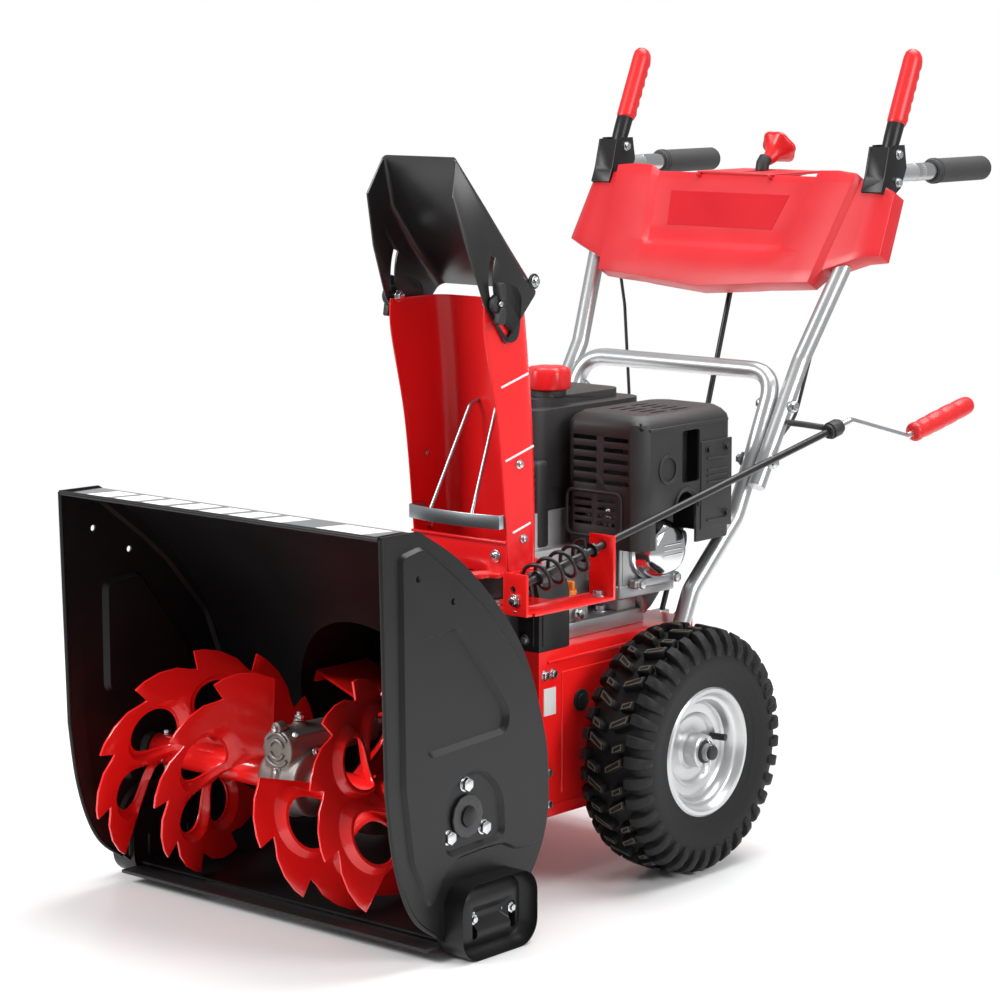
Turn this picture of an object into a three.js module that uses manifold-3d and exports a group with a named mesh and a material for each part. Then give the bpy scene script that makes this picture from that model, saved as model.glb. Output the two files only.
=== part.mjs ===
// Two-stage walk-behind snow blower, modelled as separate pieces.
// Millimetres, +Z up.  The machine faces -Y and the operator stands at +Y.
// Pieces are drawn about the middle of the wheel axle on the ground, and the
// whole group is moved at the end so that the origin is under the middle of its box.
import * as THREE from 'three';
import { mergeVertices } from 'three/addons/utils/BufferGeometryUtils.js';
import Module from 'manifold-3d';

const wasm = await Module();
wasm.setup();

// ---- driving dimensions -------------------------------------------------
const GAP = 0.4;
const SHEET = 3;
const HALF_WIDTH = 280;
const AUGER = { y: -472, z: 172, tip: 147, sleeve: 21, shaft: 12.5, trough: 155 };
const IMPELLER = { z: 217, drum: 150, back: -195.4, shaft: 10 };
const CHUTE = { x: 100, y: -254, half: 80, neck: 58, seat: 425, ring: 88, notches: 24 };
const HOOD = { y: -226, z: 800, half: 83, slot: 88 };
const KNOB = { y: HOOD.y - HOOD.slot * Math.cos(0.325), z: HOOD.z - HOOD.slot * Math.sin(0.325) };
const WHEEL = { radius: 165, middle: 242, z: 165, axle: 12.5, bead: 78 };
const FRAME = { half: 160, front: -195, back: 130, bottom: 92, top: 311 };
const CRANK = { z: 378, shaft: 11, pulley: 26 };
const CROSS = { y: -58, z: 232, disc: -104, shaft: 8 };
const DASH = { y: 360, z: 764, lean: 0.484, depth: 26 };
const SHIFT = { y: 474, z: 748 };
const STARTER_X = 36;
const TUBE = 12.4;
const LEG_X = 173;
const UPRIGHT_X = 198.5;
const WORM_START = new THREE.Vector3(216, -223, 434);
const ROD_EYE = new THREE.Vector3(262, 312, 560);
const LEVER = { x: 243, y: 462, z: 931, lean: 0.415 };
const SKID = { x: HALF_WIDTH + GAP, front: -512, back: -375, height: 95, studs: [-476, -406], studZ: 47 };

// ---- finishes -----------------------------------------------------------
const finish = (color, roughness, metalness) => new THREE.MeshStandardMaterial({ color, roughness, metalness });
const blackCoat = () => finish(0x1a1b1c, 0.4, 0.2);
const redCoat = () => finish(0xc0101a, 0.3, 0.2);
const silverTube = () => finish(0x9fa2a4, 0.35, 0.9);
const castGrey = () => finish(0x8d8a84, 0.6, 0.8);
const blackPlastic = () => finish(0x1c1c1d, 0.6, 0);
const redPlastic = () => finish(0xd3121b, 0.35, 0);
const rubber = () => finish(0x161616, 0.9, 0);
const steel = () => finish(0xa9acae, 0.3, 1);

// ---- shape tools --------------------------------------------------------
const machine = new THREE.Group();

// A three.js geometry as a solid: shared corners merged, faces turned outwards.
function solid(geometry) {
  const bare = geometry.clone();
  bare.deleteAttribute('normal');
  bare.deleteAttribute('uv');
  const merged = mergeVertices(bare, 1e-4);
  const points = merged.attributes.position.array;
  const triangles = [];
  let volume = 0;
  const corner = (k) => new THREE.Vector3().fromArray(points, 3 * k);
  for (let i = 0; i < merged.index.count; i += 3) {
    const [a, b, c] = [0, 1, 2].map((k) => merged.index.getX(i + k));
    if (a === b || b === c || a === c) continue;
    triangles.push([a, b, c]);
    volume += corner(a).dot(corner(b).cross(corner(c)));
  }
  const turned = volume < 0 ? triangles.map(([a, b, c]) => [a, c, b]) : triangles;
  return new wasm.Manifold(new wasm.Mesh({
    numProp: 3,
    vertProperties: new Float32Array(points),
    triVerts: new Uint32Array(turned.flat()),
  }));
}

// Adds one named mesh to the machine.
function piece(name, shape, material) {
  const mesh = shape.getMesh();
  const geometry = new THREE.BufferGeometry();
  geometry.setAttribute('position', new THREE.BufferAttribute(new Float32Array(mesh.vertProperties), 3));
  geometry.setIndex(new THREE.BufferAttribute(new Uint32Array(mesh.triVerts), 1));
  geometry.computeVertexNormals();
  const part = new THREE.Mesh(geometry, material);
  part.name = name;
  machine.add(part);
}

const join = (shapes) => shapes.reduce((whole, shape) => whole.add(shape));
const cut = (shape, tools) => tools.reduce((whole, tool) => whole.subtract(tool), shape);

// Box between two corners.
function block(x0, x1, y0, y1, z0, z1) {
  const geometry = new THREE.BoxGeometry(x1 - x0, y1 - y0, z1 - z0);
  geometry.translate((x0 + x1) / 2, (y0 + y1) / 2, (z0 + z1) / 2);
  return solid(geometry);
}

// Turns shapes made about +Y (cylinders, lathes) to lie about another axis.
function layAlong(geometry, axis) {
  if (axis === 'x') geometry.rotateZ(-Math.PI / 2);
  if (axis === 'z') geometry.rotateX(Math.PI / 2);
  return geometry;
}

// Round bar along x, y or z from a to b; "at" gives its centre.
function bar(axis, radius, a, b, at, sides = 12) {
  const geometry = layAlong(new THREE.CylinderGeometry(radius, radius, b - a, sides), axis);
  const centre = new THREE.Vector3(...at);
  centre[axis] = (a + b) / 2;
  geometry.translate(centre.x, centre.y, centre.z);
  return solid(geometry);
}

// Turned ring about the X axis through "at"; profile points are [radius, x].
function turnedX(profile, at, sides) {
  const outline = profile.map(([r, x]) => new THREE.Vector2(r, x));
  outline.push(outline[0].clone());
  const geometry = layAlong(new THREE.LatheGeometry(outline, sides), 'x');
  geometry.translate(at[0], at[1], at[2]);
  return solid(geometry);
}

// Flat outline pushed along x (points are [y, z]), y ([x, z]) or z ([x, y]).
function slab(axis, outline, a, b) {
  const drawn = outline instanceof THREE.Shape;
  const shape = drawn ? outline : new THREE.Shape(outline.map(([u, v]) => new THREE.Vector2(u, v)));
  const geometry = new THREE.ExtrudeGeometry(shape, { depth: b - a, bevelEnabled: false, curveSegments: 3 });
  const place = {
    x: new THREE.Matrix4().set(0, 0, 1, a, 1, 0, 0, 0, 0, 1, 0, 0, 0, 0, 0, 1),
    y: new THREE.Matrix4().set(1, 0, 0, 0, 0, 0, 1, a, 0, 1, 0, 0, 0, 0, 0, 1),
    z: new THREE.Matrix4().set(1, 0, 0, 0, 0, 1, 0, 0, 0, 0, 1, a, 0, 0, 0, 1),
  }[axis];
  geometry.applyMatrix4(place);
  return solid(geometry);
}

// Rectangle outline with round corners, as a THREE.Shape.
function roundRect(x0, x1, y0, y1, r) {
  const shape = new THREE.Shape();
  shape.moveTo(x0 + r, y0);
  shape.lineTo(x1 - r, y0);
  shape.absarc(x1 - r, y0 + r, r, -Math.PI / 2, 0);
  shape.lineTo(x1, y1 - r);
  shape.absarc(x1 - r, y1 - r, r, 0, Math.PI / 2);
  shape.lineTo(x0 + r, y1);
  shape.absarc(x0 + r, y1 - r, r, Math.PI / 2, Math.PI);
  shape.lineTo(x0, y0 + r);
  shape.absarc(x0 + r, y0 + r, r, Math.PI, 1.5 * Math.PI);
  return shape;
}

// Skin through equal loops of points, closed at both ends.
function loft(loops) {
  const count = loops[0].length;
  const points = loops.flat().flatMap((p) => [p.x, p.y, p.z]);
  const index = [];
  for (let i = 0; i + 1 < loops.length; i += 1) {
    for (let j = 0; j < count; j += 1) {
      const a = i * count + j;
      const b = i * count + ((j + 1) % count);
      index.push(a, b, b + count, a, b + count, a + count);
    }
  }
  const cap = (loop, start, reverse) => {
    const middle = loop.reduce((sum, p) => sum.add(p), new THREE.Vector3()).divideScalar(count);
    const normal = new THREE.Vector3();
    loop.forEach((p, j) => {
      const q = loop[(j + 1) % count].clone().sub(middle);
      normal.add(p.clone().sub(middle).cross(q));
    });
    const flat = new THREE.Quaternion().setFromUnitVectors(normal.normalize(), new THREE.Vector3(0, 0, 1));
    const outline = loop.map((p) => {
      const q = p.clone().sub(middle).applyQuaternion(flat);
      return new THREE.Vector2(q.x, q.y);
    });
    THREE.ShapeUtils.triangulateShape(outline, []).forEach(([a, b, c]) => {
      index.push(...(reverse ? [start + c, start + b, start + a] : [start + a, start + b, start + c]));
    });
  };
  cap(loops[0], 0, true);
  cap(loops.at(-1), (loops.length - 1) * count, false);
  const geometry = new THREE.BufferGeometry();
  geometry.setAttribute('position', new THREE.Float32BufferAttribute(points, 3));
  geometry.setIndex(index);
  return solid(geometry);
}

// Centre line through corner points, each inner corner rounded to the bend radius.
function bentLine(corners, bend) {
  const line = [corners[0]];
  for (let i = 1; i + 1 < corners.length; i += 1) {
    const [before, at, after] = corners.slice(i - 1, i + 2);
    const inward = before.clone().sub(at).normalize();
    const outward = after.clone().sub(at).normalize();
    const half = inward.angleTo(outward) / 2;
    const back = Math.min(bend / Math.tan(half), 0.45 * at.distanceTo(before), 0.45 * at.distanceTo(after));
    const curve = new THREE.QuadraticBezierCurve3(
      at.clone().addScaledVector(inward, back), at, at.clone().addScaledVector(outward, back));
    line.push(...curve.getPoints(Math.max(2, Math.round((Math.PI - 2 * half) / 0.4))));
  }
  line.push(corners.at(-1));
  return line;
}

// Round wire or tube along a line of points, its section carried without twist.
function wire(line, radius, sides = 12) {
  const side = new THREE.Vector3();
  let last = null;
  const loops = line.map((point, i) => {
    const ahead = line[Math.min(i + 1, line.length - 1)].clone().sub(line[Math.max(i - 1, 0)]).normalize();
    if (last === null) {
      side.set(1, 0, 0);
      if (Math.abs(ahead.x) > 0.8) side.set(0, 1, 0);
    } else {
      side.applyQuaternion(new THREE.Quaternion().setFromUnitVectors(last, ahead));
    }
    last = ahead;
    side.addScaledVector(ahead, -side.dot(ahead)).normalize();
    const up = ahead.clone().cross(side);
    return Array.from({ length: sides }, (_, k) => {
      const turn = (2 * Math.PI * k) / sides;
      return point.clone().addScaledVector(side, radius * Math.cos(turn))
        .addScaledVector(up, radius * Math.sin(turn));
    });
  });
  return loft(loops);
}

const at = (x, y, z) => new THREE.Vector3(x, y, z);
const straight = (a, b, radius, sides) => wire([a, b], radius, sides);

// ---- auger housing ------------------------------------------------------
// Rear and lower outline of the housing: a long curve down the back and a
// round trough about the auger.  Points are [y, z], front top edge first.
function housingCurve(inset) {
  const back = new THREE.SplineCurve([[-552, 528], [-465, 472], [-372, 370], [-325, 250], [-317, 172]]
    .map(([y, z]) => new THREE.Vector2(y, z)));
  const curve = [[-617, 529 - inset]];
  back.getPoints(10).forEach((p, i, all) => {
    const next = all[Math.min(i + 1, all.length - 1)].clone().sub(all[Math.max(i - 1, 0)]).normalize();
    curve.push([p.x + next.y * inset, p.y - next.x * inset]);
  });
  const radius = AUGER.trough - inset;
  for (let turn = -0.22; turn > -1.55; turn -= 0.26) {
    curve.push([AUGER.y + radius * Math.cos(turn), AUGER.z + radius * Math.sin(turn)]);
  }
  curve.push([AUGER.y - 30, AUGER.z - radius]);
  return curve;
}
const plateFront = [[-525, 34], [-559, 59], [-582, 97], [-599, 154], [-609, 226]];
const plateOutline = (inset) => [...housingCurve(inset), ...plateFront];

function augerHousing() {
  const outer = housingCurve(SHEET + GAP);
  const inner = housingCurve(2 * SHEET + GAP).reverse();
  const skin = slab('x', [...outer, ...inner], -HALF_WIDTH + SHEET + 1, HALF_WIDTH - SHEET - 1);
  const intake = bar('y', IMPELLER.drum - 10, -400, -250, [0, 0, IMPELLER.z], 20);
  piece('auger_housing', cut(skin, [intake]), blackCoat());
}

function sidePlate(name, side) {
  const inner = HALF_WIDTH - SHEET - 0.6;
  const range = side > 0 ? [inner, HALF_WIDTH] : [-HALF_WIDTH, -inner];
  const sheet = slab('x', plateOutline(0), ...range);
  const bearingHole = bar('x', 19.5, -300, 300, [0, AUGER.y, AUGER.z]);
  const studs = SKID.studs.map((y) => {
    const reach = side > 0 ? [inner + 1, SKID.x + 20] : [-SKID.x - 20, -inner - 1];
    return bar('x', 4, ...reach, [0, y, SKID.studZ], 12);
  });
  piece(name, join([cut(sheet, [bearingHole]), ...studs]), blackCoat());
}

function scraperBar() {
  piece('scraper_bar', block(-270, 270, -534, -478, 13, 17.8), steel());
}

// ---- impeller drum with its discharge neck -------------------------------
function impellerHousing() {
  const wall = IMPELLER.drum - SHEET;
  const drum = bar('y', IMPELLER.drum, -420, IMPELLER.back, [0, 0, IMPELLER.z], 20);
  const neck = bar('z', CHUTE.neck, IMPELLER.z, CHUTE.seat - 1, [CHUTE.x, CHUTE.y, 0], 20);
  const hollow = bar('y', wall, -430, IMPELLER.back - SHEET, [0, 0, IMPELLER.z], 20);
  const throat = bar('z', CHUTE.neck - SHEET, IMPELLER.z, CHUTE.seat + 9, [CHUTE.x, CHUTE.y, 0], 20);
  const shaftHole = bar('y', IMPELLER.shaft + GAP, -260, -150, [0, 0, IMPELLER.z]);
  const scoop = slab('x', plateOutline(SHEET), -320, 320);
  piece('impeller_housing', cut(join([drum, neck]), [hollow, throat, shaftHole, scoop]), blackCoat());
}

// ---- augers ---------------------------------------------------------------
// Point on a flight: it winds about the auger axis and climbs along X.
function flightPoint(x, turn, radius) {
  return at(x, AUGER.y - radius * Math.cos(turn), AUGER.z + radius * Math.sin(turn));
}

// One ribbon flight with a toothed rim.  "turn" is measured from straight ahead, upwards.
function flight(side, startX, pitch, first, last) {
  const step = THREE.MathUtils.degToRad(15);
  const steps = Math.round((last - first) / step);
  const loops = [];
  for (let i = 0; i <= steps; i += 1) {
    const turn = first + i * step;
    const x = startX + (side * pitch * turn) / (2 * Math.PI);
    const rim = AUGER.tip - [0, 14][i % 2];
    const low = AUGER.sleeve - 3;
    loops.push([flightPoint(x - 2, turn, low), flightPoint(x - 2, turn, rim),
      flightPoint(x + 2, turn, rim), flightPoint(x + 2, turn, low)]);
  }
  return loft(loops);
}

function auger(name, side, starts) {
  const pitch = 230;
  const sleeve = bar('x', AUGER.sleeve, side > 0 ? 48 : -258, side > 0 ? 258 : -48, [0, AUGER.y, AUGER.z]);
  const bore = bar('x', AUGER.shaft + GAP, -262, 262, [0, AUGER.y, AUGER.z]);
  const windows = [];
  const flights = starts.map(([startX, first, last]) => {
    for (let turn = first + 0.5; turn < last - 0.3; turn += 1.2) {
      const x = startX - (side * pitch * turn) / (2 * Math.PI);
      const centre = flightPoint(x, turn, 72);
      windows.push(bar('x', 34, x - 40, x + 40, [0, centre.y, centre.z], 7));
    }
    return flight(-side, startX, pitch, first, last);
  });
  const whole = join([sleeve, ...flights.map((one) => cut(one, windows))]);
  piece(name, cut(whole, [bore]), redCoat());
}

function augerShaft() {
  piece('auger_shaft', bar('x', AUGER.shaft, -287, 287, [0, AUGER.y, AUGER.z]), steel());
}

function augerBearing(name, side) {
  const flange = (a, b, r) => {
    const [from, to] = side > 0 ? [a, b] : [-b, -a];
    return bar('x', r, from, to, [0, AUGER.y, AUGER.z]);
  };
  const whole = flange(HALF_WIDTH + GAP, HALF_WIDTH + 4, 27).add(flange(266, HALF_WIDTH + 1, 19));
  piece(name, cut(whole, [flange(250, 300, AUGER.shaft + GAP)]), castGrey());
}

// Cast case between the augers: worm wheel below, worm above it.
function gearCase() {
  const outer = join([
    bar('x', 45, -36, 36, [0, AUGER.y, AUGER.z], 18),
    bar('y', 26, -514, -415, [0, 0, IMPELLER.z]),
    bar('y', 19, -430, -342, [0, 0, IMPELLER.z]),
    bar('z', 9, 240, 262, [0, AUGER.y, 0], 16),
  ]);
  const hollow = [
    bar('x', 37, -28, 28, [0, AUGER.y, AUGER.z], 18),
    bar('y', 17, -508, -420, [0, 0, IMPELLER.z]),
    bar('y', IMPELLER.shaft + GAP, -430, -340, [0, 0, IMPELLER.z]),
    bar('x', AUGER.shaft + GAP, -40, 40, [0, AUGER.y, AUGER.z]),
  ];
  piece('auger_gear_case', cut(outer, hollow), castGrey());
}

// Toothed disc about X or Y, bored for its shaft.
function toothedDisc(axis, centre, a, b, radius, teeth, bore) {
  const outline = [];
  for (let i = 0; i < 2 * teeth; i += 1) {
    const turn = (Math.PI * (i + 0.5)) / teeth;
    const r = i % 4 < 2 && teeth > 16 ? radius : radius * (i % 2 ? 0.9 : 1);
    outline.push([centre[0] + r * Math.cos(turn), centre[1] + r * Math.sin(turn)]);
  }
  const seat = axis === 'x' ? [0, ...centre] : [centre[0], 0, centre[1]];
  return cut(slab(axis, outline, a, b), [bar(axis, bore, a - 1, b + 1, seat)]);
}

function wormWheel() {
  piece('worm_wheel', toothedDisc('x', [AUGER.y, AUGER.z], -11, 11, 31, 20, AUGER.shaft + GAP), castGrey());
}

// ---- impeller and its shaft -----------------------------------------------
function impeller() {
  const hub = bar('y', 22, -306, -206, [0, 0, IMPELLER.z]);
  const blades = [0, 1, 2, 3].map((k) => {
    const blade = new THREE.BoxGeometry(124, 100, 4);
    blade.translate(80, -256, 0);
    const lip = new THREE.BoxGeometry(4, 100, 16);
    lip.translate(140, -256, 7);
    const turn = (k * Math.PI) / 2 + 0.35;
    return join([blade, lip].map((g) => solid(g.rotateY(turn).translate(0, 0, IMPELLER.z))));
  });
  const bore = bar('y', IMPELLER.shaft + GAP, -310, -200, [0, 0, IMPELLER.z]);
  piece('impeller', cut(join([hub, ...blades]), [bore]), redCoat());
}

function impellerShaft() {
  const shaft = bar('y', IMPELLER.shaft, -505, -158, [0, 0, IMPELLER.z]);
  const worm = bar('y', 13, -494, -450, [0, 0, IMPELLER.z], 20);
  piece('impeller_shaft', shaft.add(worm), steel());
}

// Grooved pulley about Y.
function pulley(z, radius, a, b) {
  const flanges = [bar('y', radius, a, a + 3, [0, 0, z]), bar('y', radius, b - 3, b, [0, 0, z])];
  return join([bar('y', radius - 6, a, b, [0, 0, z]), ...flanges]);
}

function impellerPulley() {
  const bore = bar('y', IMPELLER.shaft + GAP, -200, -150, [0, 0, IMPELLER.z]);
  piece('impeller_pulley', cut(pulley(IMPELLER.z, 68, -184, -168), [bore]), castGrey());
}

// Belt loop in the plane between two pulleys on the middle of the machine.
function belt(name, low, high, a, b) {
  const outline = (grow) => {
    const shape = new THREE.Shape();
    const lean = Math.asin((low.r - high.r) / (high.z - low.z));
    shape.absarc(0, high.z, high.r + grow, lean, Math.PI - lean);
    shape.absarc(0, low.z, low.r + grow, Math.PI - lean, 2 * Math.PI + lean);
    return shape;
  };
  const ring = slab('y', outline(6), a, b).subtract(slab('y', outline(GAP), a - 1, b + 1));
  piece(name, ring, rubber());
}

// ---- frame box, belt cover and drive inside --------------------------------
function frameCase() {
  const t = SHEET;
  const shell = block(-FRAME.half, FRAME.half, FRAME.front, FRAME.back, FRAME.bottom, FRAME.top);
  const inside = block(-FRAME.half + t, FRAME.half - t, FRAME.front + t, FRAME.back - t,
    FRAME.bottom - 5, FRAME.top - t);
  const beltSlot = block(-62, 62, -190, -141, FRAME.top - 10, FRAME.top + 10);
  const axleHole = bar('x', WHEEL.axle + GAP, -200, 200, [0, 0, WHEEL.z]);
  const shaftHole = bar('y', IMPELLER.shaft + 2, -210, -180, [0, 0, IMPELLER.z]);
  const crossShaft = bar('x', CROSS.shaft + 1.2, -200, 200, [0, CROSS.y, CROSS.z], 16);
  const box = cut(shell, [inside, beltSlot, axleHole, shaftHole, crossShaft]);
  const ear = slab('x', [[129, 236], [136, 236], [140, 250], [236, 256], [244, 268], [236, 280], [140, 286],
    [136, 300], [129, 300]], -3, 3);
  piece('frame_case', join([box, ear]), redCoat());
}

function bottomCover() {
  const sheet = block(-158, 158, FRAME.front + 2, FRAME.back - 2, FRAME.bottom - 3, FRAME.bottom - GAP);
  piece('bottom_cover', sheet, redCoat());
}

function beltCover() {
  const outline = new THREE.Shape();
  outline.moveTo(-FRAME.half, FRAME.top + GAP);
  outline.lineTo(FRAME.half, FRAME.top + GAP);
  outline.lineTo(FRAME.half, 385);
  outline.quadraticCurveTo(FRAME.half, 412, 120, 412);
  outline.lineTo(-120, 412);
  outline.quadraticCurveTo(-FRAME.half, 412, -FRAME.half, 385);
  const outer = slab('y', outline, -194.4, -133);
  const inner = block(-FRAME.half + 4, FRAME.half - 4, -191.4, -136, 300, 396);
  const crown = block(-115, 115, -191.4, -136, 395, 409);
  const crankHole = bar('y', CRANK.shaft + 3, -150, -120, [0, 0, CRANK.z]);
  piece('belt_cover', cut(outer, [inner, crown, crankHole]), blackPlastic());
}

function driveDisc() {
  const centre = [0, 0, CROSS.z];
  const shaft = bar('y', 9, -156, -100, centre);
  const flanges = [bar('y', 50, -156, -153, centre), bar('y', 50, -145, -142, centre)];
  const grooved = join([bar('y', 44, -154, -143, centre), ...flanges]);
  piece('drive_disc', join([shaft, grooved, bar('y', 62, -110, CROSS.disc, centre, 20)]), steel());
}

function frictionWheel() {
  const centre = [0, CROSS.y, CROSS.z];
  const shaft = bar('x', CROSS.shaft, -158, 158, centre, 16);
  const wheel = bar('x', CROSS.y - CROSS.disc - 0.6, 22, 34, centre, 20);
  piece('friction_wheel', join([shaft, wheel, bar('x', 18, -62, -44, centre)]), rubber());
}

// ---- wheels -----------------------------------------------------------------
function wheelAxle() {
  const gear = toothedDisc('x', [0, WHEEL.z], -60, -46, 69, 24, WHEEL.axle - 1);
  piece('wheel_axle', gear.add(bar('x', WHEEL.axle, -292, 292, [0, 0, WHEEL.z])), steel());
}

function tyre(name, side) {
  const outside = [[79, 42], [96, 43], [122, 52], [150, 50], [WHEEL.radius, 34]];
  const inside = [[152, 34], [122, 44], [79, 33]];
  const mirror = (list) => list.map(([r, x]) => [r, -x]).reverse();
  const profile = [...outside, ...mirror(outside), ...mirror(inside), ...inside].reverse();
  piece(name, turnedX(profile, [side * WHEEL.middle, 0, WHEEL.z], 24), rubber());
}

function rim(name, side) {
  const profile = [[13, -32], [24, -32], [24, 10], [74, 20], [74, -44], [86, -44], [WHEEL.bead, -42.6],
    [WHEEL.bead, 42.6], [86, 44], [74, 44], [74, 25], [24, 15], [24, 40], [13, 40]];
  const sided = profile.map(([r, x]) => [r, side * x]);
  piece(name, turnedX(sided, [side * WHEEL.middle, 0, WHEEL.z], 16), silverTube());
}

// ---- chute --------------------------------------------------------------------
// U-shaped section open to the front; front and back are [y, z].
function channel(front, back, halfFront, halfBack, t) {
  const inward = new THREE.Vector2(front[0] - back[0], front[1] - back[1]).setLength(t);
  const wallPoint = (x, p) => at(CHUTE.x + x, p[0], p[1]);
  const inner = [back[0] + inward.x, back[1] + inward.y];
  return [wallPoint(halfFront, front), wallPoint(halfBack, back),
    wallPoint(-halfBack, back), wallPoint(-halfFront, front),
    wallPoint(-halfFront + t, front), wallPoint(-halfBack + t, inner), wallPoint(halfBack - t, inner),
    wallPoint(halfFront - t, front)];
}

function chute() {
  const stations = [[430, -278, -212], [500, -283, -212], [620, -297, -216], [728, -321, -226], [770, -322, -232]];
  const walls = loft(stations.map(([z, front, back]) => channel([front, z], [back, z], CHUTE.half, CHUTE.half, 2.5)));
  const outline = [];
  for (let i = 0; i < 2 * CHUTE.notches; i += 1) {
    const turn = (Math.PI * i) / CHUTE.notches;
    const r = i % 2 ? CHUTE.ring : CHUTE.ring - 6;
    outline.push([CHUTE.x + r * Math.cos(turn), CHUTE.y + r * Math.sin(turn)]);
  }
  const ring = slab('z', outline, CHUTE.seat, CHUTE.seat + 6);
  const mouth = bar('z', CHUTE.neck - SHEET, CHUTE.seat - 5, CHUTE.seat + 12, [CHUTE.x, CHUTE.y, 0], 20);
  const lip = block(CHUTE.x - 79, CHUTE.x + 79, -281, -278.5, 429, 470);
  const studs = bar('x', 4, CHUTE.x - 96, CHUTE.x + 96, [0, KNOB.y, KNOB.z], 10);
  const between = block(CHUTE.x - 78, CHUTE.x + 78, -340, -240, 720, 800);
  const whole = join([walls, ring, lip, cut(studs, [between])]);
  piece('chute', cut(whole, [mouth]), redPlastic());
}

function chuteGuard() {
  const legs = [-22, 22].map((x) => wire(bentLine([
    at(CHUTE.x + x, -221, 634), at(CHUTE.x + x, -234, 632), at(CHUTE.x + x * 1.6, -296, 506)], 8), 2.5, 6));
  const strap = block(CHUTE.x - 77, CHUTE.x + 77, -300, -292, 494, 500);
  const foot = [-74.5, 74.5].map((x) => block(CHUTE.x + x - 3, CHUTE.x + x + 3, -300, -262, 484, 500));
  const pads = [-36, 36].map((x) => block(CHUTE.x + x - 4, CHUTE.x + x + 4, -300, -292, 499, 507));
  piece('chute_guard', join([strap, ...foot, ...pads, ...legs]), steel());
}

function deflector() {
  const h = HOOD.half + 1;
  const sections = [
    channel([-287, 720], [-224, 784], h, h, 2.5),
    channel([-326, 771], [-270, 836], h, h, 2.5),
    channel([-352, 838], [-315, 889], h - 4, h - 2, 2.5),
    channel([-371, 904], [-352, 951], 72, 62, 2.5),
  ];
  const arc = (radius) => [-52, -38, -24, -10, 4, 20].map((degrees) => {
    const turn = THREE.MathUtils.degToRad(degrees);
    return [HOOD.y - radius * Math.cos(turn), HOOD.z + radius * Math.sin(turn)];
  });
  const slot = slab('x', [...arc(HOOD.slot - 5), ...arc(HOOD.slot + 5).reverse()], CHUTE.x - 120, CHUTE.x + 120);
  const hinge = [-1, 1].map((side) => {
    const x = CHUTE.x + side * (HOOD.half - 0.25);
    return bar('x', 9, x - 1.25, x + 1.25, [0, HOOD.y - 6, HOOD.z - 6], 16);
  });
  piece('chute_deflector', cut(join([loft(sections), ...hinge]), [slot]), blackPlastic());
}

function wingKnob(name, side) {
  const x = (a, b) => (side > 0 ? [CHUTE.x + a, CHUTE.x + b] : [CHUTE.x - b, CHUTE.x - a]);
  const boss = bar('x', 11, ...x(86, 98), [0, KNOB.y, KNOB.z], 16);
  const wing = block(...x(90, 98), KNOB.y - 22, KNOB.y + 22, KNOB.z - 4, KNOB.z + 4);
  const bore = bar('x', 4 + GAP, ...x(80, 96.6), [0, KNOB.y, KNOB.z], 10);
  piece(name, cut(join([boss, wing]), [bore]), blackPlastic());
}

// ---- chute crank: rod, wire worm and bent handle --------------------------------
const rodWay = ROD_EYE.clone().sub(WORM_START).normalize();
const alongRod = (distance) => WORM_START.clone().addScaledVector(rodWay, distance);
const crankDown = at(0, 0, -1).addScaledVector(rodWay, rodWay.z).normalize();
const ROD_END = ROD_EYE.distanceTo(WORM_START) + 38;
const CRANK_REACH = { along: 112, out: 61, grip: 146 };

function chuteCrank() {
  const handStart = alongRod(ROD_END + CRANK_REACH.along).addScaledVector(crankDown, CRANK_REACH.out);
  const handEnd = handStart.clone().addScaledVector(rodWay, CRANK_REACH.grip);
  const rod = wire(bentLine([alongRod(-78), alongRod(ROD_END), handStart, handEnd], 16), 5, 8);
  const side = rodWay.clone().cross(crankDown);
  const turns = 4.5;
  const coil = [];
  for (let i = 0; i <= turns * 8; i += 1) {
    const turn = (i * Math.PI) / 4;
    coil.push(alongRod(-52 + (i * 23) / 8)
      .addScaledVector(crankDown, 18.5 * Math.cos(turn)).addScaledVector(side, 18.5 * Math.sin(turn)));
  }
  const spoke = (end, distance) => straight(alongRod(distance), end, 2.6, 6);
  const spokes = [spoke(coil[0], -52), spoke(coil.at(-1), -52 + 23 * turns)];
  piece('chute_crank', join([rod, wire(coil, 2.6, 5), ...spokes]), steel());
}

function crankGrip() {
  const start = alongRod(ROD_END + CRANK_REACH.along + 14).addScaledVector(crankDown, CRANK_REACH.out);
  const end = start.clone().addScaledVector(rodWay, CRANK_REACH.grip - 10);
  const boreEnds = [start.clone().addScaledVector(rodWay, -2), end.clone().addScaledVector(rodWay, -3)];
  const bore = straight(...boreEnds, 5 + GAP, 10);
  piece('crank_grip', straight(start, end, 13.5, 16).subtract(bore), redPlastic());
}

function crankGuide() {
  const ring = straight(alongRod(ROD_END - 46), alongRod(ROD_END - 30), 12, 16);
  const bore = straight(alongRod(ROD_END - 60), alongRod(ROD_END - 10), 5.5, 10);
  const arm = wire(bentLine([at(213, 272, 569), at(232, 282, 567), alongRod(ROD_END - 38)], 8), 4.5, 8);
  piece('crank_guide', cut(ring.add(arm), [bore]), blackPlastic());
}

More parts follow.
